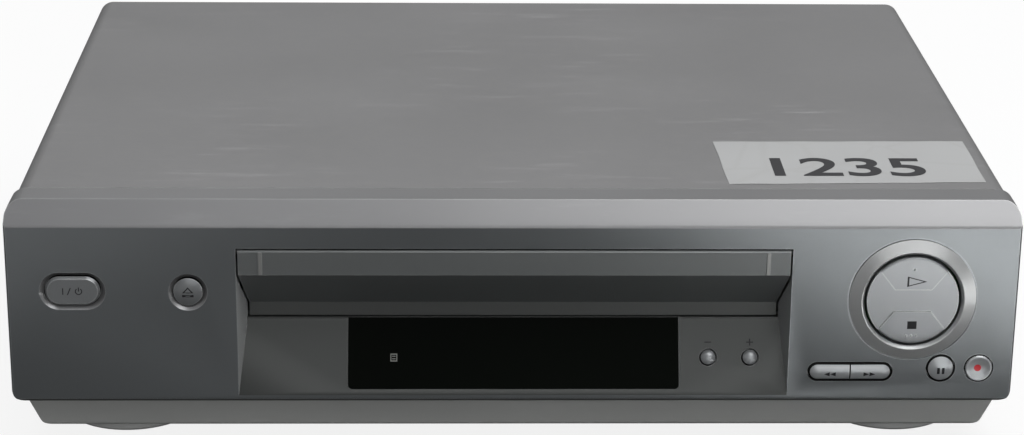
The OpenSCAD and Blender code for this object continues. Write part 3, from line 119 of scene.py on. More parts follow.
def math_node(tree, operation, first, second=0.0, clamp=False):
    node = add(tree, "ShaderNodeMath", {0: first, 1: second}, operation=operation, use_clamp=clamp)
    return node.outputs[0]


def remap(tree, value, low, high, to_low=0.0, to_high=1.0):
    """Maps low..high on to to_low..to_high, clamped."""
    return add(tree, "ShaderNodeMapRange", {
        "Value": value, "From Min": low, "From Max": high, "To Min": to_low, "To Max": to_high,
    }).outputs["Result"]


def mix_colour(tree, factor, first, second):
    """Mixes two colours; sockets 0, 6 and 7 of the mix node are its factor and colours."""
    node = add(tree, "ShaderNodeMix", data_type="RGBA")
    wire(tree, node, {0: factor, 6: first, 7: second})
    return node.outputs[2]


def rgba(colour):
    return (*colour[:3], 1.0)


def scaled(colour, factor):
    return rgba([min(1.0, channel * factor) for channel in colour])


def new_group(name, inputs, outputs):
    """Makes a node group and returns it with its input and output nodes."""
    group = bpy.data.node_groups.new(name, "ShaderNodeTree")
    for label, kind, value in inputs:
        socket = group.interface.new_socket(name=label, in_out="INPUT", socket_type=kind)
        if value is not None:
            socket.default_value = value
    for label, kind in outputs:
        group.interface.new_socket(name=label, in_out="OUTPUT", socket_type=kind)
    return group, group.nodes.new("NodeGroupInput"), group.nodes.new("NodeGroupOutput")


def noise(tree, vector, scale, detail, roughness=0.5):
    return add(tree, "ShaderNodeTexNoise", {
        "Vector": vector, "Scale": scale, "Detail": detail, "Roughness": roughness}).outputs[0]


def grain_group():
    """Fine surface grain and a slow drift of tone."""
    tree, source, result = new_group(
        "Surface grain",
        [("Vector", "NodeSocketVector", None), ("Scale", "NodeSocketFloat", 2000.0),
         ("Stretch", "NodeSocketVector", (1.0, 1.0, 1.0)), ("Drift", "NodeSocketFloat", 14.0)],
        [("Height", "NodeSocketFloat"), ("Tone", "NodeSocketFloat")])
    placed = add(tree, "ShaderNodeMapping", {
        "Vector": source.outputs["Vector"], "Scale": source.outputs["Stretch"]}).outputs[0]
    fine = noise(tree, placed, source.outputs["Scale"], detail=3.0, roughness=0.6)
    slow = noise(tree, placed, source.outputs["Drift"], detail=1.5, roughness=0.4)
    wire(tree, result, {"Height": fine, "Tone": remap(tree, slow, 0.2, 0.8)})
    return tree


def wear_and_highlight_group():
    """Edges lighter from rubbing by hands and cloths and from a painted highlight along them, found
    from the bend of the surface within a small width.
    """
    tree, source, result = new_group(
        "Edge wear",
        [("Vector", "NodeSocketVector", None), ("Width", "NodeSocketFloat", 0.0006),
         ("Amount", "NodeSocketFloat", 0.5)],
        [("Mask", "NodeSocketFloat")])
    rounded = add(tree, "ShaderNodeBevel", {
        "Radius": source.outputs["Width"]}, samples=4).outputs[0]
    flat = tree.nodes.new("ShaderNodeNewGeometry").outputs["Normal"]
    agreement = add(tree, "ShaderNodeVectorMath", {0: rounded, 1: flat}, operation="DOT_PRODUCT")
    edge = remap(tree, agreement.outputs["Value"], 0.995, 0.9)
    patches = noise(tree, source.outputs["Vector"], scale=60.0, detail=5.0, roughness=0.65)
    worn_and_highlight = math_node(tree, "MULTIPLY", edge, remap(tree, patches, 0.3, 0.6, to_low=0.35))
    mask = math_node(tree, "MULTIPLY", worn_and_highlight, source.outputs["Amount"], clamp=True)
    wire(tree, result, {"Mask": mask})
    return tree


def scuff_group():
    """Thin wiping marks and scuffs that lie mostly one way."""
    tree, source, result = new_group(
        "Scuffs",
        [("Vector", "NodeSocketVector", None), ("Scale", "NodeSocketFloat", 30.0),
         ("Amount", "NodeSocketFloat", 0.3)],
        [("Mask", "NodeSocketFloat")])
    turned = add(tree, "ShaderNodeMapping", {
        "Vector": source.outputs["Vector"], "Rotation": (0.0, 0.0, 0.5),
        "Scale": (1.0, 9.0, 4.0)}).outputs[0]
    lines = noise(tree, turned, source.outputs["Scale"], detail=6.0, roughness=0.7)
    areas = noise(tree, source.outputs["Vector"], scale=9.0, detail=2.0)
    marks = math_node(tree, "MULTIPLY", remap(tree, lines, 0.56, 0.72),
                      remap(tree, areas, 0.4, 0.6))
    mask = math_node(tree, "MULTIPLY", marks, source.outputs["Amount"], clamp=True)
    wire(tree, result, {"Mask": mask})
    return tree


def dust_group():
    """Fine dust that settles on what faces up."""
    tree, source, result = new_group(
        "Dust",
        [("Vector", "NodeSocketVector", None), ("Amount", "NodeSocketFloat", 0.2)],
        [("Mask", "NodeSocketFloat")])
    normal = tree.nodes.new("ShaderNodeNewGeometry").outputs["Normal"]
    facing = add(tree, "ShaderNodeSeparateXYZ", {0: normal})
    level = remap(tree, facing.outputs["Z"], 0.5, 1.0)
    specks = noise(tree, source.outputs["Vector"], scale=240.0, detail=8.0, roughness=0.75)
    settled = math_node(tree, "MULTIPLY", level, remap(tree, specks, 0.35, 0.75))
    mask = math_node(tree, "MULTIPLY", settled, source.outputs["Amount"], clamp=True)
    wire(tree, result, {"Mask": mask})
    return tree


GROUP_MAKERS = {"grain": grain_group, "wear_and_highlight": wear_and_highlight_group, "scuffs": scuff_group, "dust": dust_group}
GROUPS = {}


def use_group(tree, name, inputs):
    """Adds a shared node group, which is made once."""
    if name not in GROUPS:
        GROUPS[name] = GROUP_MAKERS[name]()
    node = tree.nodes.new("ShaderNodeGroup")
    node.node_tree = GROUPS[name]
    wire(tree, node, inputs)
    return node


def finish(name, colour, metallic=0.0, roughness=0.5, scale=1800.0, depth=0.02,
           stretch=(1.0, 1.0, 1.0), drift=14.0, tone=0.06, spread=0.06, wear_and_highlight=0.0,
           worn_and_highlight=(0.7, 0.7, 0.7), scuffs=0.0, dust=0.0, coat=0.0, specular=0.5, pattern=None):
    """A surface with grain of depth mm and, where asked, edges lighter from rubbing and from a
    painted highlight, scuffs and dust.

    Its colour drifts by the share tone and its roughness by spread, both over the scale drift.
    """
    material = bpy.data.materials.new(name)
    material.use_nodes = True
    tree = material.node_tree
    shader = tree.nodes["Principled BSDF"]
    where = tree.nodes.new("ShaderNodeTexCoord").outputs["Object"]
    grain = use_group(tree, "grain", {
        "Vector": where, "Scale": scale, "Stretch": stretch, "Drift": drift})
    drifting = grain.outputs["Tone"]
    shade = mix_colour(tree, drifting, scaled(colour, 1 - tone), scaled(colour, 1 + tone))
    height = grain.outputs["Height"]
    if pattern:
        shade, height = pattern(tree, where, shade, height)
    gloss = remap(tree, drifting, 0.0, 1.0, roughness - spread, roughness + spread)

    def rougher(mask, amount):
        return math_node(tree, "ADD", gloss, math_node(tree, "MULTIPLY", mask, amount), clamp=True)

    if scuffs:
        rubbed = use_group(tree, "scuffs", {"Vector": where, "Amount": scuffs}).outputs["Mask"]
        shade = mix_colour(tree, rubbed, shade, scaled(colour, SCUFF_LIGHTENS))
        gloss = rougher(rubbed, SCUFF_ROUGHENS)
    # Lighter edges: partly rubbed paint, partly a painted highlight along the edges
    if wear_and_highlight:
        edges = use_group(tree, "wear_and_highlight", {"Vector": where, "Amount": wear_and_highlight}).outputs["Mask"]
        shade = mix_colour(tree, edges, shade, rgba(worn_and_highlight))
    if dust:
        settled = use_group(tree, "dust", {"Vector": where, "Amount": dust}).outputs["Mask"]
        shade = mix_colour(tree, settled, shade, DUST_COLOUR)
        gloss = rougher(settled, DUST_ROUGHENS)
    bump = add(tree, "ShaderNodeBump", {
        "Height": height, "Strength": BUMP_STRENGTH, "Distance": depth * MM})
    wire(tree, shader, {
        "Base Color": shade, "Roughness": gloss, "Normal": bump.outputs[0], "Metallic": metallic,
        "Specular IOR Level": specular, "Coat Weight": coat, "Coat Roughness": COAT_ROUGHNESS})
    return material


# Patterns: each takes the place, shade and height so far, and returns the new shade and height


def circuit_tracks(tree, where, shade, height):
    """Green board with lanes of track and bright soldered pads."""
    track_green, solder = (0.12, 0.3, 0.1, 1.0), (0.62, 0.62, 0.58, 1.0)
    cells = add(tree, "ShaderNodeTexVoronoi", {"Vector": where, "Scale": 180.0, "Randomness": 0.9},
                feature="F1", distance="MANHATTAN").outputs["Distance"]
    lanes = math_node(tree, "PINGPONG", math_node(tree, "MULTIPLY", cells, 9.0), 0.5)
    track = remap(tree, lanes, 0.2, 0.28)
    pads = remap(tree, cells, 0.14, 0.1)
    shade = mix_colour(tree, math_node(tree, "MULTIPLY", track, 0.5), shade, track_green)
    shade = mix_colour(tree, pads, shade, solder)
    return shade, math_node(tree, "ADD", math_node(tree, "MULTIPLY", track, 0.6), pads)


def wound_wire(tree, where, shade, height):
    """Turns of varnished wire, with painted shade between them."""
    painted_shade_between_turns = (0.2, 0.13, 0.03, 1.0)
    turns = add(tree, "ShaderNodeTexWave", {
        "Vector": where, "Scale": 700.0, "Distortion": 0.4, "Detail": 1.0,
    }, wave_type="BANDS", bands_direction="Z").outputs["Fac"]
    return mix_colour(tree, turns, painted_shade_between_turns, shade), turns


def tube_grid(tree, where, shade, height):
    """Fine grid behind the glass of the display tube."""
    wire_grey = (0.16, 0.2, 0.18, 1.0)
    rows = add(tree, "ShaderNodeTexWave", {"Vector": where, "Scale": 420.0},
               wave_type="BANDS", bands_direction="X").outputs["Fac"]
    return mix_colour(tree, math_node(tree, "MULTIPLY", rows, 0.25), shade, wire_grey), height


def paper_creases(tree, where, shade, height):
    """Faint creases of a paper label that has been rubbed on."""
    crease_grey = (0.3, 0.29, 0.27, 1.0)
    creases = add(tree, "ShaderNodeTexVoronoi", {"Vector": where, "Scale": 34.0},
                  feature="DISTANCE_TO_EDGE").outputs["Distance"]
    fold = remap(tree, creases, 0.0, 0.05, to_low=1.0, to_high=0.0)
    shade = mix_colour(tree, math_node(tree, "MULTIPLY", fold, 0.1), shade, crease_grey)
    return shade, math_node(tree, "ADD", height, math_node(tree, "MULTIPLY", fold, 0.8))


# Outlines of printed shapes, in mm


def disc_points(radius, steps=20):
    turns = [2 * math.pi * k / steps for k in range(steps)]
    return [(radius * math.cos(turn), radius * math.sin(turn)) for turn in turns]


def arc_strip(x, inner, outer, start, end, steps=18):
    """Quads along an arc about (x, 0), between two radii and two angles in degrees."""
    turns = [math.radians(start + (end - start) * k / steps) for k in range(steps + 1)]

    def spot(radius, turn):
        return x + radius * math.cos(turn), radius * math.sin(turn)

    return [[spot(inner, a), spot(outer, a), spot(outer, b), spot(inner, b)]
            for a, b in zip(turns, turns[1:])]


def bar(x, y, width, height):
    """A rectangle about (x, y)."""
    w, h = width / 2, height / 2
    return [(x - w, y - h), (x + w, y - h), (x + w, y + h), (x - w, y + h)]


def outline_strip(points, width):
    """Quads along the inside of a closed convex outline."""
    middle = Vector((sum(p[0] for p in points) / len(points),
                     sum(p[1] for p in points) / len(points)))
    sides = list(zip(points, points[1:] + points[:1]))
    apothem = min(abs((Vector(b) - Vector(a)).normalized().cross(middle - Vector(a)))
                  for a, b in sides)
    inner = [tuple(middle + (Vector(p) - middle) * (1 - width / apothem)) for p in points]
    return [[a, b, d, c] for (a, b), (c, d) in zip(sides, zip(inner, inner[1:] + inner[:1]))]


# Geometry building

PROBE_REACH = 10.0  # mm from which a printed point is dropped on to its surface
MARK_LIFT = 0.03  # mm that a print stands above its surface
MARK_ROOT = 0.05  # mm that it reaches below
FLAT_ANGLE = math.radians(0.5)
CREASE_ANGLE = math.radians(32)
EDGE_ANGLE = math.radians(40)


def surface_tree(node):
    """A CAD node's surface for casting rays on it."""
    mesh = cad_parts[node].data
    return BVHTree.FromPolygons([v.co.copy() for v in mesh.vertices],
                                [list(p.vertices) for p in mesh.polygons])


def printed_mark(name, node, body, shapes, origin, up, out, material, cuts=1):
    """Thin printed shapes on a CAD surface: every corner is dropped on to it against out."""
    tree = surface_tree(node)
    across = up.cross(out)
    bm = bmesh.new()
    for points in shapes:
        bm.faces.new([
            bm.verts.new((origin + across * p[0] + up * p[1] + out * PROBE_REACH) * MM)
            for p in points])
    bmesh.ops.remove_doubles(bm, verts=bm.verts, dist=SAME_POINT)
    bmesh.ops.triangulate(bm, faces=[f for f in bm.faces if len(f.verts) > 4])
    bmesh.ops.subdivide_edges(bm, edges=bm.edges[:], cuts=cuts, use_grid_fill=True)
    for vert in bm.verts:
        hit = tree.ray_cast(vert.co, -out)[0]
        if hit is None:
            raise RuntimeError(f"{name} misses {node}")
        vert.co = hit + out * MARK_LIFT * MM
    bmesh.ops.recalc_face_normals(bm, faces=bm.faces)
    for face in bm.faces:
        if face.normal.dot(out) < 0:
            face.normal_flip()
    for vert in thickened(bm):
        vert.co -= out * (MARK_LIFT + MARK_ROOT) * MM
    bmesh.ops.recalc_face_normals(bm, faces=bm.faces)
    return piece_from(bm, name, body, material)


def thickened(bm):
    """Extrudes all faces in place and returns the new points."""
    shell = bmesh.ops.extrude_face_region(bm, geom=bm.faces[:])
    return [part for part in shell["geom"] if isinstance(part, bmesh.types.BMVert)]


def mesh_from(bm, name, material):
    mesh = bpy.data.meshes.new(name)
    bm.to_mesh(mesh)
    bm.free()
    mesh.materials.append(material)
    return mesh


def linked_object(name, data):
    item = bpy.data.objects.new(name, data)
    bpy.context.scene.collection.objects.link(item)
    return item


def piece_from(bm, name, body, material):
    """Makes a piece of the visual model that rides on a body."""
    piece = linked_object(name, mesh_from(bm, name, material))
    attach(piece, body)
    return piece


def dress(names, material, soften=0.0):
    """Gives CAD nodes a finish and smooth shading; edges are rounded by soften mm if asked."""
    for name in names:
        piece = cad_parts[name]
        piece.data.materials.clear()
        piece.data.materials.append(material)
        for polygon in piece.data.polygons:
            polygon.use_smooth = True
        weld = piece.modifiers.new("Weld", "WELD")
        weld.merge_threshold = SAME_POINT
        if soften:
            flat = piece.modifiers.new("Flat faces", "DECIMATE")
            flat.decimate_type = "DISSOLVE"
            flat.angle_limit = FLAT_ANGLE
            rounding = piece.modifiers.new("Rounded edges", "BEVEL")
            rounding.limit_method = "ANGLE"
            rounding.angle_limit = EDGE_ANGLE
            rounding.width = soften * MM
            rounding.segments = 2
        crisp = piece.modifiers.new("Crisp edges", "EDGE_SPLIT")
        crisp.split_angle = CREASE_ANGLE
        evening = piece.modifiers.new("Even shading", "WEIGHTED_NORMAL")
        evening.keep_sharp = True


def faces_viewer(normal):
    return normal.y < -0.9


def repaint(name, material, chosen):
    """Gives a second finish to the faces of a CAD node whose centre in mm and normal suit."""
    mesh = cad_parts[name].data
    mesh.materials.append(material)
    for polygon in mesh.polygons:
        if chosen(polygon.center / MM, polygon.normal):
            polygon.material_index = len(mesh.materials) - 1


# Settings

COLOUR = {"subtype": "COLOR", "size": 3, "min": 0.0, "max": 1.0}
LENGTH = {"subtype": "DISTANCE", "unit": "LENGTH"}
POWER = {"unit": "POWER", "min": 0.0}


class RecorderFinish(PropertyGroup):
    face: FloatVectorProperty(name="Face paint", description="Silver paint of the face",
                              default=(0.18, 0.192, 0.198), **COLOUR)
    # Lighter copy of the face paint for faces that lean up: painted light on the lip
    lip: FloatVectorProperty(name="Lip paint", description="Paint of the sloping lip over the face",
                             default=(0.27, 0.27, 0.275), **COLOUR)
    lid: FloatVectorProperty(name="Lid paint", description="Grey paint of the steel lid",
                             default=(0.224, 0.223, 0.226), **COLOUR)
    door: FloatVectorProperty(name="Door", description="Plastic of the cassette door",
                              default=(0.17, 0.18, 0.18), **COLOUR)
    # Darker than the face paint to stand in for shade on the panel, which leans up: painted shade
    recess: FloatVectorProperty(name="Recess", description="Plastic round the display",
                                default=(0.066, 0.07, 0.068), **COLOUR)
    skirt: FloatVectorProperty(name="Skirt", description="Plastic of the moulded base",
                               default=(0.57, 0.58, 0.565), **COLOUR)
    keys: FloatVectorProperty(name="Keys", description="Silver of the keys and the play disc",
                              default=(0.31, 0.322, 0.33), **COLOUR)
    ink: FloatVectorProperty(name="Ink", description="Printed symbols",
                             default=(0.03, 0.03, 0.032), **COLOUR)


class RecorderLabel(PropertyGroup):
    text: StringProperty(name="Number", description="Digits on the stock label", default="1235")
    thickness: FloatProperty(name="Thickness", description="Paper thickness",
                             default=0.00012, min=0.00005, max=0.0003, **LENGTH)
    digit_height: FloatProperty(name="Digit height", description="Height of the digits",
                                default=0.0205, min=0.01, max=0.03, **LENGTH)


class RecorderStudio(PropertyGroup):
    ceiling: FloatProperty(name="Ceiling", description="Power of the wide lamp overhead",
                           default=20.0, **POWER)
    overhead: FloatProperty(name="Overhead", description="Power of the lamp over the right",
                            default=8.5, **POWER)
    front: FloatProperty(name="Front", description="Power of the low soft lamp in front",
                         default=9.0, **POWER)
    right_pool: FloatProperty(name="Right pool", default=760.0, **POWER,
                              description="Power of the spot on the floor at the right")
    left_pool: FloatProperty(name="Left pool", default=120.0, **POWER,
                             description="Power of the spot on the floor at the left")
    room: FloatProperty(name="Room", description="Level of the room's own light",
                        default=0.5, min=0.0)


# Operators


class RECORDER_OT_cabinet(Operator):
    """Paint and plastic of the lid, face, door, display, base and rear"""

    bl_idname = "recorder.cabinet"
    bl_label = "Finish the cabinet"

    # All in mm
    FOLD_Z = 86.0  # where the face folds back into the lip
    DISH_TOP = 85.0
    RECESS_HALF = 98.5  # half the width of the recess
    SIDE_INNER = 173.0  # inner face of the side walls
    HOLE_START = FRONT_Y + 0.5  # behind the rounding of the face
    HOLE_END = FRONT_Y + 2.5  # back of the face's wall
    RIB_FRONT = FRONT_Y - 0.2
    DOOR_LIP_Z = 53.0  # top of the door's lower lip

    # Shares of a face's normal along an axis
    RISING = 0.2  # at least, upwards on the lip
    DISH_SLOPE = (0.05, 0.98)  # along y in the dishes round the keys
    HOLE_SLOPE = 0.2  # at most, along y on a hole's wall
    WALL_SLOPE = 0.7  # at least, along x on the recess's side walls

    MOULDED = {"scale": 4200.0, "depth": 0.004, "tone": 0.03}
    DOOR_PLASTIC = {"metallic": 0.45, "roughness": 0.4, "scale": 3800.0, "depth": 0.008,
                    "tone": 0.04, "spread": 0.03}

    def execute(self, context):
        tones = context.scene.recorder_finish
        dress(["top_cover"], finish(
            "Lid paint", tones.lid, metallic=0.35, roughness=0.42, scale=2600.0, depth=0.015,
            tone=0.03, spread=0.04, scuffs=0.8, wear_and_highlight=0.6, dust=0.06), soften=0.35)
        self.finish_face(tones)
        self.finish_door(tones)
        dress(["display_window"], finish(
            "Smoked window", (0.002, 0.003, 0.002), roughness=0.14, scale=900.0, depth=0.001,
            tone=0.1, spread=0.03, specular=0.05))
        dress(["base_chassis"], finish(
            "Skirt plastic", tones.skirt, roughness=0.55, scale=1500.0, depth=0.03, tone=0.04,
            wear_and_highlight=0.3, worn_and_highlight=(0.4, 0.4, 0.39), dust=0.1), soften=0.3)
        dress(["feet"], finish(
            "Foot plastic", (0.92, 0.93, 0.92), roughness=0.5, scale=1500.0, depth=0.03,
            tone=0.04, wear_and_highlight=0.3), soften=0.2)
        dress(["rear_panel"], finish(
            "Rear steel", (0.07, 0.07, 0.073), metallic=0.2, roughness=0.5, scale=1600.0,
            depth=0.02, tone=0.08, wear_and_highlight=0.5, worn_and_highlight=(0.3, 0.3, 0.3), dust=0.12), soften=0.15)
        return {"FINISHED"}

    def finish_face(self, tones):
        dress(["front_panel"], finish(
            "Face paint", tones.face, metallic=0.85, roughness=0.3, scale=4200.0, depth=0.003,
            tone=0.02, spread=0.02, wear_and_highlight=0.5, worn_and_highlight=(0.6, 0.62, 0.62)), soften=0.2)
        # The lip and dishes take a lighter copy of the face paint: painted light where the faces
        # lean up
        lip = finish(
            "Lip paint", tones.lip, metallic=0.6, roughness=0.32, scale=4200.0, depth=0.003,
            tone=0.03, spread=0.03, scuffs=0.15, wear_and_highlight=0.7, worn_and_highlight=(0.66, 0.67, 0.67))
        shadow = finish("Hole shadow", (0.01, 0.01, 0.01), roughness=0.7, depth=0.01, specular=0.1)
        # The panel round the display takes a darker copy: painted shade
        recess = finish("Recess plastic", tones.recess, metallic=0.3, roughness=0.36, spread=0.03,
                        wear_and_highlight=0.2, worn_and_highlight=(0.4, 0.4, 0.4), **self.MOULDED)
        # The recess's side walls take a much lighter copy: painted light
        recess_wall_painted_light = finish("Recess wall", (0.38, 0.39, 0.39), metallic=0.1, roughness=0.4,
                             wear_and_highlight=0.6, **self.MOULDED)
        repaint("front_panel", lip, self.on_lip_or_dish)
        repaint("front_panel", shadow, self.in_key_hole)
        repaint("front_panel", recess, self.in_recess)
        repaint("front_panel", recess_wall_painted_light, self.on_recess_wall)

    def finish_door(self, tones):
        dress(["cassette_door"], finish(
            "Door plastic", tones.door, wear_and_highlight=0.6, worn_and_highlight=(0.5, 0.5, 0.5),
            **self.DOOR_PLASTIC), soften=0.15)
        # The door's lower lip takes a darker copy of the door plastic: painted shade
        lip = finish("Door lip", (0.11, 0.115, 0.112), **self.DOOR_PLASTIC)
        # The ribs take a lighter copy of the door plastic: a painted highlight
        rib = finish("Door rib", (0.3, 0.305, 0.295), metallic=0.45, roughness=0.35, scale=3800.0,
                     depth=0.004, tone=0.03)
        repaint("cassette_door", lip,
                lambda place, normal: place.z < self.DOOR_LIP_Z and faces_viewer(normal))
        repaint("cassette_door", rib, lambda place, normal: place.y < self.RIB_FRONT)

    def on_lip_or_dish(self, place, normal):
        """The sloping lip, and the rounded dishes round the key holes: these take the lighter lip
        paint as painted light.
        """
        if place.z > self.FOLD_Z and normal.z > self.RISING:
            return True
        least, most = self.DISH_SLOPE
        near_face = self.beside_recess(place) and place.y < self.HOLE_END
        return near_face and least < abs(normal.y) < most and place.z < self.DISH_TOP

    def in_key_hole(self, place, normal):
        within = self.HOLE_START < place.y < self.HOLE_END
        return self.beside_recess(place) and within and abs(normal.y) < self.HOLE_SLOPE

    def beside_recess(self, place):
        return self.RECESS_HALF < abs(place.x) < self.SIDE_INNER

    def in_recess(self, place, normal):
        behind_face = place.y > self.HOLE_START and place.z < self.FOLD_Z
        return abs(place.x) < self.RECESS_HALF and behind_face

    def on_recess_wall(self, place, normal):
        return self.in_recess(place, normal) and abs(normal.x) > self.WALL_SLOPE


class RECORDER_OT_keys(Operator):
    """Silver keys, play disc and its ring"""

    bl_idname = "recorder.keys"
    bl_label = "Finish the keys"

    # Where the keys' flanks and rims take painted shadow
    OUTLINE_Y = FRONT_Y - 0.25  # mm, the right-hand keys' sides are dark behind this
    # Most that a flank's normal may share with the key's travel, where the flank gets painted
    # shadow
    FACE_FLANK, PANEL_FLANK = 0.5, 0.7
    # Name, level of the key silver, keys: the left keys' darker copy is painted shade and the right
    # keys' lighter copy a painted highlight
    SILVERS_WITH_PAINTED_LIGHT = (("Left key silver", 0.75, LEFT_KEYS), ("Right key silver", 1.4, RIGHT_KEYS),
               ("Disc silver", 1.0, ("play_stop_rocker", *PROGRAM_KEYS)))

    def execute(self, context):
        tones = context.scene.recorder_finish
        for name, level, nodes in self.SILVERS_WITH_PAINTED_LIGHT:
            dress(nodes, finish(
                name, [level * channel for channel in tones.keys], metallic=0.55, roughness=0.33,
                scale=4200.0, depth=0.006, tone=0.03, spread=0.03, wear_and_highlight=0.6,
                worn_and_highlight=(0.75, 0.76, 0.76)))
        # Near-black flanks and rims round the keys: painted shadow in the gaps
        shadow = finish("Key flank", (0.01, 0.01, 0.01), roughness=0.7, depth=0.01, specular=0.1)
        for key in LEFT_KEYS + RIGHT_KEYS:
            repaint(key, shadow, lambda place, normal: abs(normal.y) < self.FACE_FLANK)
        for key in RIGHT_KEYS:
            repaint(key, shadow, lambda place, normal: (
                place.y > self.OUTLINE_Y and not faces_viewer(normal)))
        for key in PROGRAM_KEYS:
            repaint(key, shadow,
                    lambda place, normal: abs(normal.dot(PANEL_OUT)) < self.PANEL_FLANK)
        dress(["dial_ring"], finish(
            "Ring silver", (0.5, 0.51, 0.51), metallic=0.8, roughness=0.34, scale=4200.0,
            depth=0.004, tone=0.03, spread=0.03, wear_and_highlight=0.4))
        return {"FINISHED"}


class RECORDER_OT_mechanism(Operator):
    """Plated steel, machined alloy, mouldings and rubber of the tape mechanism"""

    bl_idname = "recorder.mechanism"
    bl_label = "Finish the mechanism"

    # Ends of the bending length of the door spring's free leg, in mm
    LEG_START = Vector((-89.7, -134.4, 77.9))
    LEG_END = Vector((-89.7, -136.4, 72.3))

    def execute(self, context):
        dress(["mecha_deck", "capstan_rotor", "pinch_arm", "tension_arm", "erase_head",
               "audio_head", "carriage_frame", "cassette_tray"],
              finish("Plated steel", (0.52, 0.53, 0.52), metallic=0.9, roughness=0.34, scale=900.0,
                     depth=0.01, stretch=(1.0, 14.0, 1.0), tone=0.08, dust=0.05))
        dress(["lower_drum", "upper_drum", "supply_guide", "take_up_guide"],
              finish("Machined alloy", (0.72, 0.73, 0.74), metallic=1.0, roughness=0.22,
                     scale=700.0, depth=0.006, stretch=(1.0, 1.0, 22.0), tone=0.05, spread=0.04))
        dress(["heat_sink"],
              finish("Extruded alloy", (0.55, 0.56, 0.57), metallic=0.9, roughness=0.4,
                     scale=600.0, depth=0.02, stretch=(1.0, 20.0, 1.0), tone=0.08, dust=0.2))
        dress(["supply_reel", "take_up_reel", "carriage_slider"],
              finish("Black moulding", (0.03, 0.03, 0.032), roughness=0.42, scale=1700.0,
                     depth=0.02, tone=0.1))
        dress(["clutch_pulley", "idler_arm", "cam_gear", "tray_pinions"],
              finish("Acetal moulding", (0.68, 0.67, 0.61), roughness=0.38, scale=1400.0,
                     depth=0.01, tone=0.03))
        dress(["worm", "capstan_bearing"],
              finish("Brass", (0.62, 0.43, 0.16), metallic=1.0, roughness=0.34, scale=900.0,
                     depth=0.008, tone=0.1))
        dress(["pinch_roller", "idler_wheel", "drive_belt", "foot_pads"],
              finish("Rubber", (0.018, 0.018, 0.018), roughness=0.78, scale=1200.0, depth=0.03,
                     tone=0.15, dust=0.05))
        self.add_door_spring(
            finish("Spring steel", (0.5, 0.5, 0.5), metallic=1.0, roughness=0.2, scale=2000.0,
                   depth=0.004, tone=0.05))
        dress(["loading_motor", "cover_screws", "phono_shells", "tuner_can", "aerial_in_socket",
               "aerial_out_plug"],
              finish("Bright plating", (0.66, 0.67, 0.67), metallic=1.0, roughness=0.21,
                     scale=1300.0, depth=0.008, tone=0.06, spread=0.05, dust=0.05))
        return {"FINISHED"}

    def add_door_spring(self, steel):
        """The coil and legs stay in place: a smooth-shaded copy of the door spring takes the hidden
        CAD node's place.
        """
        bm = bmesh.new()
        bm.from_mesh(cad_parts["door_spring"].data)
        bmesh.ops.remove_doubles(bm, verts=bm.verts, dist=SAME_POINT)
        spring = linked_object("door_return_spring", mesh_from(bm, "door_return_spring", steel))
        for polygon in spring.data.polygons:
            polygon.use_smooth = True
        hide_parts("door_spring")
        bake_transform(spring)


class RECORDER_OT_electronics(Operator):
    """Boards, transformer, capacitors, switches, display tube and sockets"""

    bl_idname = "recorder.electronics"
    bl_label = "Finish the electronics"

    def execute(self, context):
        dress(["main_board", "supply_board", "front_boards"],
              finish("Circuit board", (0.04, 0.12, 0.04), roughness=0.38, depth=0.05, tone=0.12,
                     dust=0.06, pattern=circuit_tracks))
        dress(["transformer"],
              finish("Wound wire", (0.5, 0.33, 0.1), roughness=0.4, depth=0.12, tone=0.1,
                     pattern=wound_wire))
        dress(["capacitors"],
              finish("Capacitor sleeve", (0.015, 0.02, 0.06), roughness=0.36, tone=0.1, coat=0.3))
        dress(["key_switches", "scart_sockets", "phono_block", "mains_inlet"],
              finish("Black plastic", (0.025, 0.025, 0.027), roughness=0.45, scale=1500.0,
                     depth=0.02, tone=0.1, dust=0.06))
        dress(["display_tube"],
              finish("Tube glass", (0.05, 0.07, 0.065), roughness=0.1, tone=0.08, spread=0.02,
                     depth=0.002, coat=0.5, pattern=tube_grid))
        return {"FINISHED"}


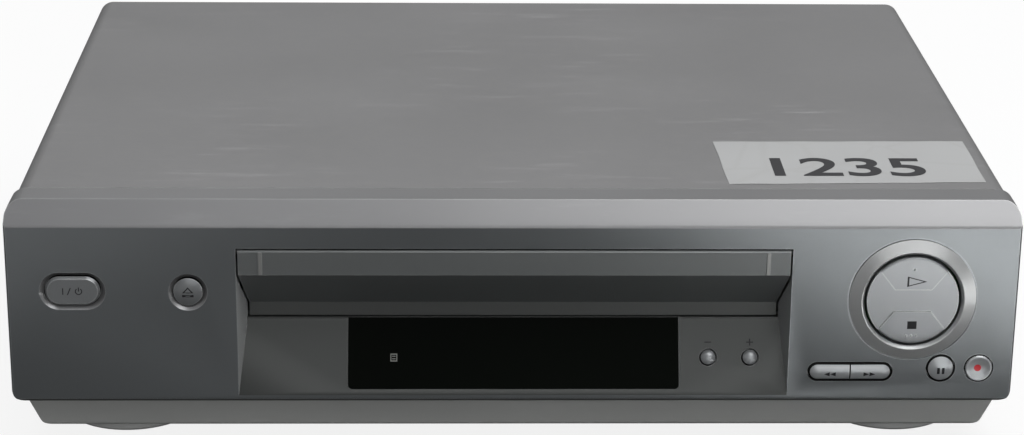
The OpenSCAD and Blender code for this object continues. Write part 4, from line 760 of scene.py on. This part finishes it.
class RECORDER_OT_marks(Operator):
    """Printed symbols on the keys, panel and display"""

    bl_idname = "recorder.marks"
    bl_label = "Print the symbols"

    POWER_SIGN = [bar(-3.3, 0.0, 0.32, 2.4),
                  [(-1.9, -1.3), (-1.55, -1.3), (-0.45, 1.3), (-0.8, 1.3)],
                  bar(2.2, 0.75, 0.32, 1.5),
                  *arc_strip(2.2, 0.95, 1.27, 125, 415)]
    EJECT_SIGN = [*outline_strip([(-2.0, -0.2), (2.0, -0.2), (0.0, 2.0)], 0.3),
                  *outline_strip([(-2.0, -1.7), (2.0, -1.7), (2.0, -0.85), (-2.0, -0.85)], 0.26)]
    PLAY_SIGN = outline_strip([(-3.3, -1.95), (3.7, 0.0), (-3.3, 1.95)], 0.34)
    REWIND_SIGN = [[(-2.1, 0.0), (-0.05, -0.8), (-0.05, 0.8)],
                   [(0.05, 0.0), (2.1, -0.8), (2.1, 0.8)]]
    FORWARD_SIGN = [[(-2.1, -0.8), (-0.05, 0.0), (-2.1, 0.8)],
                    [(0.05, -0.8), (2.1, 0.0), (0.05, 0.8)]]
    PAUSE_SIGN = [bar(-0.85, 0.0, 0.95, 2.4), bar(0.85, 0.0, 0.95, 2.4)]
    PLUS_SIGN = [bar(0.0, 0.0, 2.5, 0.42), bar(0.0, 0.73, 0.42, 1.04), bar(0.0, -0.73, 0.42, 1.04)]
    CASSETTE_SIGN = [*outline_strip([(-1.2, -1.4), (1.2, -1.4), (1.2, 1.4), (-1.2, 1.4)], 0.3),
                     bar(0.0, 0.45, 1.2, 0.3), bar(0.0, -0.45, 1.2, 0.3)]

    # Name, key, x and z of the middle in mm, shapes
    KEY_MARKS = (
        ("power_symbol", "power_button", (-154.5, 62.0), POWER_SIGN),
        ("eject_symbol", "eject_button", (-114.3, 61.6), EJECT_SIGN),
        ("play_symbol", "play_stop_rocker", (141.2, 66.2), PLAY_SIGN),
        ("stop_symbol", "play_stop_rocker", (140.4, 49.8), [bar(0.0, 0.0, 3.3, 2.9)]),
        ("rewind_symbol", "rewind_button", (112.3, 30.9), REWIND_SIGN),
        ("fast_forward_symbol", "fast_forward_button", (126.4, 30.9), FORWARD_SIGN),
        ("pause_symbol", "pause_button", (151.8, 32.2), PAUSE_SIGN),
    )
    RECORD_PLACE = (165.1, 32.9)
    RECORD_RADIUS = 1.3
    # Name, x and distance up the panel in mm, shapes
    PANEL_MARKS = (
        ("minus_symbol", (69.4, 18.9), [bar(0.0, 0.0, 2.4, 0.42)]),
        ("plus_symbol", (84.4, 18.9), PLUS_SIGN),
    )
    DISPLAY_PLACE = (-42.6, 13.4)

    def execute(self, context):
        ink = finish("Symbol ink", context.scene.recorder_finish.ink, roughness=0.5, depth=0.002,
                     tone=0.15, specular=0.1)
        red = finish("Record red", (0.6, 0.02, 0.03), roughness=0.35, depth=0.002, tone=0.1,
                     coat=0.2)
        pale = finish("Display etch", (0.32, 0.33, 0.31), roughness=0.5, depth=0.002, tone=0.2)
        for name, key, place, shapes in self.KEY_MARKS:
            printed_mark(name, key, key, shapes, face_point(*place), UP, TOWARDS_VIEWER, ink)
        printed_mark("record_symbol", "record_button", "record_button",
                     [disc_points(self.RECORD_RADIUS)], face_point(*self.RECORD_PLACE), UP,
                     TOWARDS_VIEWER, red, cuts=2)
        for name, place, shapes in self.PANEL_MARKS:
            printed_mark(name, "front_panel", "case", shapes, panel_point(*place), PANEL_UP,
                         PANEL_OUT, ink)
        printed_mark("display_symbol", "display_window", "case", self.CASSETTE_SIGN,
                     panel_point(*self.DISPLAY_PLACE), PANEL_UP, PANEL_OUT, pale)
        return {"FINISHED"}


class RECORDER_OT_label(Operator):
    """Paper stock label with a number on the lid"""

    bl_idname = "recorder.label"
    bl_label = "Stick on the label"

    # Corners in mm: x, and distance behind the face
    TOP_LEFT, TOP_RIGHT = Vector((75.3, 71.7)), Vector((168.9, 72.8))
    LOW_LEFT, LOW_RIGHT = Vector((76.5, 22.8)), Vector((168.7, 25.4))
    COLUMNS, ROWS = 32, 16
    SIDE_WAVE, END_WAVE = 0.1, 0.12  # mm, of the cut edges
    SIDE_RATE, SIDE_PHASE, END_RATE = 9, 2.0, 23  # rad, of those waves over the whole edge
    REST_LIFT, BUBBLE_LIFT = 0.03, 0.05  # mm above the lid, flat and in its bubbles
    RIDGE_ACROSS, RIDGE_ALONG, FADE_RATE = 17, 3, 11  # rad, of the bubbles over the paper

    NUMBER_PLACE = (121.6, FRONT_Y + 42.0, LID_Z + 0.25)  # mm
    NUMBER_WIDTH = 0.0553  # m
    FONT_HEIGHT = 0.73  # of a digit, as a share of the font's size
    STROKE_OFFSET = 0.0004  # m, makes the digits bold
    INK_THICKNESS = 0.00003  # m

    def execute(self, context):
        label = context.scene.recorder_label
        paper = finish("Label paper", (0.43, 0.435, 0.435), roughness=0.6, scale=2600.0,
                       depth=0.03, tone=0.03, drift=40.0, pattern=paper_creases)
        print_ink = finish("Label print", (0.035, 0.035, 0.038), roughness=0.55, scale=2600.0,
                           depth=0.02, tone=0.3, drift=900.0, specular=0.2)
        self.add_paper(paper, label.thickness)
        self.add_number(context, print_ink, label.text, label.digit_height)
        return {"FINISHED"}

    def paper_point(self, across, along):
        """A point of the paper's underside at two shares of its width and depth, in m."""
        top = self.TOP_LEFT.lerp(self.TOP_RIGHT, across)
        low = self.LOW_LEFT.lerp(self.LOW_RIGHT, across)
        x, behind = low.lerp(top, along)
        if across in (0.0, 1.0):
            x += self.SIDE_WAVE * math.sin(self.SIDE_RATE * along + self.SIDE_PHASE)
        if along in (0.0, 1.0):
            behind += self.END_WAVE * math.sin(self.END_RATE * across)
        ridge = max(0.0, math.sin(self.RIDGE_ACROSS * across + self.RIDGE_ALONG * along))
        fade = max(0.0, math.cos(self.FADE_RATE * along))
        lift = self.REST_LIFT + self.BUBBLE_LIFT * ridge * fade
        return Vector((x, FRONT_Y + behind, LID_Z + lift)) * MM

    def add_paper(self, material, thickness):
        bm = bmesh.new()
        rows = [[bm.verts.new(self.paper_point(i / self.COLUMNS, j / self.ROWS))
                 for i in range(self.COLUMNS + 1)] for j in range(self.ROWS + 1)]
        for low, high in zip(rows, rows[1:]):
            for corners in zip(low, low[1:], high[1:], high):
                bm.faces.new(corners)
        for vert in thickened(bm):
            vert.co.z += thickness
        bmesh.ops.recalc_face_normals(bm, faces=bm.faces)
        piece_from(bm, "stock_label", "case", material)

    def add_number(self, context, material, text, digit_height):
        curve = bpy.data.curves.new("stock_number", "FONT")
        curve.body = text
        curve.size = digit_height / self.FONT_HEIGHT
        curve.offset = self.STROKE_OFFSET
        curve.extrude = self.INK_THICKNESS
        curve.align_x = "CENTER"
        curve.align_y = "CENTER"
        outline = linked_object("stock_number_outline", curve)
        context.view_layer.update()
        shaped = outline.evaluated_get(context.evaluated_depsgraph_get())
        mesh = bpy.data.meshes.new_from_object(shaped)
        bpy.data.objects.remove(outline)
        xs = [v.co.x for v in mesh.vertices]
        ys = [v.co.y for v in mesh.vertices]
        width, height = max(xs) - min(xs), max(ys) - min(ys)
        sizing = Matrix.Diagonal((self.NUMBER_WIDTH / width, digit_height / height, 1.0, 1.0))
        centre = Matrix.Translation((-(max(xs) + min(xs)) / 2, -(max(ys) + min(ys)) / 2, 0.0))
        place = Matrix.Translation(Vector(self.NUMBER_PLACE) * MM)
        mesh.transform(place @ sizing @ centre)
        mesh.materials.clear()
        mesh.materials.append(material)
        number = linked_object("stock_number", mesh)
        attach(number, "case")


class RECORDER_OT_studio(Operator):
    """Pale floor, soft lamps, room light and the camera"""

    bl_idname = "recorder.studio"
    bl_label = "Set up the studio"

    WHITE = (1.0, 1.0, 1.0, 1.0)
    FLOOR_HALF = 6.0  # m
    FLOOR_DARK, FLOOR_PALE = rgba([0.07] * 3), rgba([0.97] * 3)  # to the lamps, as shown
    FLOOR_GLOW = 0.86  # share of glow in the shown floor
    FLOOR_IN_METAL, ROOM_IN_METAL = 0.06, 0.2  # shares of white that metal and glass mirror
    SKY_COLOUR = (0.97, 0.98, 1.0, 1.0)
    HORIZON = 0.2  # height of the direction where the room starts to brighten
    LOW_SHARE = 0.1  # of the room's level, below that

    # Name, setting, size, place and target in m
    LAMPS = (
        ("Ceiling lamp", "ceiling", (2.4, 2.4), (0.2, 0.7, 1.9), (0.0, 0.0, 0.05)),
        ("Overhead lamp", "overhead", (1.0, 1.0), (0.55, -0.55, 1.25), (0.1, -0.12, 0.09)),
        ("Front lamp", "front", (2.2, 0.9), (0.5, -2.5, 0.8), (0.0, -0.14, 0.06)),
    )
    # Name, setting, cone in degrees, soft share of the cone, place in m
    SPOTS = (
        ("Right floor spot", "right_pool", 29.0, 0.5, (0.3, -0.44, 0.9)),
        ("Left floor spot", "left_pool", 25.0, 0.8, (-0.27, -0.45, 0.9)),
    )
    SPOT_RADIUS = 0.05  # m

    # The photograph's camera, fitted to the recorder
    PICTURE = (1024, 435)  # px
    FOCAL = 2695.2  # px
    AXIS = (517.44, 218.11)  # px, where the camera's axis meets the picture
    SENSOR = 36.0  # mm
    YAW, PITCH, ROLL = math.radians(1.6449), math.radians(19.556), math.radians(-0.6248)
    CAMERA_PLACE = (-0.02464, -1.02062, 0.4026)  # m

    def execute(self, context):
        scene = context.scene
        studio = scene.recorder_studio
        scene.view_settings.view_transform = "Standard"
        self.add_floor()
        self.add_room(scene, studio.room)
        for name, setting, size, place, target in self.LAMPS:
            self.add_lamp(name, getattr(studio, setting), size, place, target)
        for name, setting, cone, blend, place in self.SPOTS:
            self.add_spot(name, getattr(studio, setting), cone, blend, place)
        self.add_camera(scene)
        return {"FINISHED"}

    def add_floor(self):
        mesh = bpy.data.meshes.new("floor")
        half = self.FLOOR_HALF
        corners = [(-half, -half, 0.0), (half, -half, 0.0), (half, half, 0.0), (-half, half, 0.0)]
        mesh.from_pydata(corners, [], [(0, 1, 2, 3)])
        floor = linked_object("floor", mesh)
        material = bpy.data.materials.new("Pale floor")
        material.use_nodes = True
        tree = material.node_tree
        shader = tree.nodes["Principled BSDF"]
        shown = self.shown_as_background(tree, self.FLOOR_IN_METAL)
        paint = mix_colour(tree, shown, self.FLOOR_DARK, self.FLOOR_PALE)
        wire(tree, shader, {"Base Color": paint, "Roughness": 0.9})
        glow = add(tree, "ShaderNodeEmission", {"Color": self.WHITE, "Strength": 1.0})
        share = math_node(tree, "MULTIPLY", shown, self.FLOOR_GLOW)
        both = add(tree, "ShaderNodeMixShader", {
            0: share, 1: shader.outputs[0], 2: glow.outputs[0]})
        wire(tree, tree.nodes["Material Output"], {"Surface": both.outputs[0]})
        mesh.materials.append(material)

    def shown_as_background(self, tree, in_metal_and_glass):
        """How far the white shows: in full to the camera, by a share in metal and glass."""
        paths = tree.nodes.new("ShaderNodeLightPath").outputs
        mirrored = math_node(tree, "ADD", paths["Is Glossy Ray"], paths["Is Transmission Ray"],
                             clamp=True)
        share = math_node(tree, "MULTIPLY", mirrored, in_metal_and_glass)
        return math_node(tree, "ADD", paths["Is Camera Ray"], share, clamp=True)

    def add_room(self, scene, level):
        world = scene.world or bpy.data.worlds.new("Room")
        scene.world = world
        world.use_nodes = True
        tree = world.node_tree
        tree.nodes.clear()
        shown = self.shown_as_background(tree, self.ROOM_IN_METAL)
        towards = tree.nodes.new("ShaderNodeTexCoord").outputs["Generated"]
        height = add(tree, "ShaderNodeSeparateXYZ", {0: towards}).outputs["Z"]
        fade = remap(tree, height, self.HORIZON, 1.0, level * self.LOW_SHARE, level)
        room = add(tree, "ShaderNodeBackground", {"Color": self.SKY_COLOUR, "Strength": fade})
        white = add(tree, "ShaderNodeBackground", {"Color": self.WHITE, "Strength": 1.0})
        both = add(tree, "ShaderNodeMixShader", {
            0: shown, 1: room.outputs[0], 2: white.outputs[0]})
        add(tree, "ShaderNodeOutputWorld", {"Surface": both.outputs[0]})

    def add_lamp(self, name, power, size, place, target):
        light = bpy.data.lights.new(name, "AREA")
        light.energy = power
        light.shape = "RECTANGLE"
        light.size, light.size_y = size
        lamp = linked_object(name, light)
        lamp.location = place
        aim = Vector(target) - Vector(place)
        lamp.rotation_euler = aim.to_track_quat("-Z", "Y").to_euler()

    def add_spot(self, name, power, cone, blend, place):
        light = bpy.data.lights.new(name, "SPOT")
        light.energy = power
        light.spot_size = math.radians(cone)
        light.spot_blend = blend
        light.shadow_soft_size = self.SPOT_RADIUS
        linked_object(name, light).location = place

    def add_camera(self, scene):
        yaw, pitch, roll = self.YAW, self.PITCH, self.ROLL
        ahead = Vector((math.sin(yaw) * math.cos(pitch), math.cos(yaw) * math.cos(pitch),
                        -math.sin(pitch)))
        level = Vector((math.cos(yaw), -math.sin(yaw), 0.0))
        below = ahead.cross(level)
        right = math.cos(roll) * level + math.sin(roll) * below
        down = -math.sin(roll) * level + math.cos(roll) * below
        width, height = self.PICTURE
        data = bpy.data.cameras.new("Camera")
        data.sensor_width = self.SENSOR
        data.lens = self.FOCAL / width * self.SENSOR
        data.shift_x = -(self.AXIS[0] - width / 2) / width
        data.shift_y = (self.AXIS[1] - height / 2) / width
        camera = linked_object("Camera", data)
        axes = Matrix((right, -down, -ahead)).transposed().to_4x4()
        camera.matrix_world = Matrix.Translation(self.CAMERA_PLACE) @ axes
        scene.camera = camera


class RECORDER_PT_panel(Panel):
    """Sidebar panel with the recorder's settings and steps"""

    bl_label = "Recorder"
    bl_idname = "RECORDER_PT_panel"
    bl_space_type = "VIEW_3D"
    bl_region_type = "UI"
    bl_category = "Recorder"

    def draw(self, context):
        layout = self.layout
        scene = context.scene
        for group in (scene.recorder_finish, scene.recorder_label, scene.recorder_studio):
            box = layout.box()
            for name in group.__annotations__:
                box.prop(group, name)
        for step in STEPS:
            layout.operator(step.bl_idname)


STEPS = (RECORDER_OT_studio, RECORDER_OT_cabinet, RECORDER_OT_keys, RECORDER_OT_mechanism,
         RECORDER_OT_electronics, RECORDER_OT_marks, RECORDER_OT_label)
CLASSES = (RecorderFinish, RecorderLabel, RecorderStudio, *STEPS, RECORDER_PT_panel)


def register():
    for cls in CLASSES:
        bpy.utils.register_class(cls)
    bpy.types.Scene.recorder_finish = PointerProperty(type=RecorderFinish)
    bpy.types.Scene.recorder_label = PointerProperty(type=RecorderLabel)
    bpy.types.Scene.recorder_studio = PointerProperty(type=RecorderStudio)


def unregister():
    del bpy.types.Scene.recorder_studio
    del bpy.types.Scene.recorder_label
    del bpy.types.Scene.recorder_finish
    for cls in reversed(CLASSES):
        bpy.utils.unregister_class(cls)


def main():
    register()
    for step in STEPS:
        group, action = step.bl_idname.split(".")
        getattr(getattr(bpy.ops, group), action)()


if __name__ == "__main__":
    main()
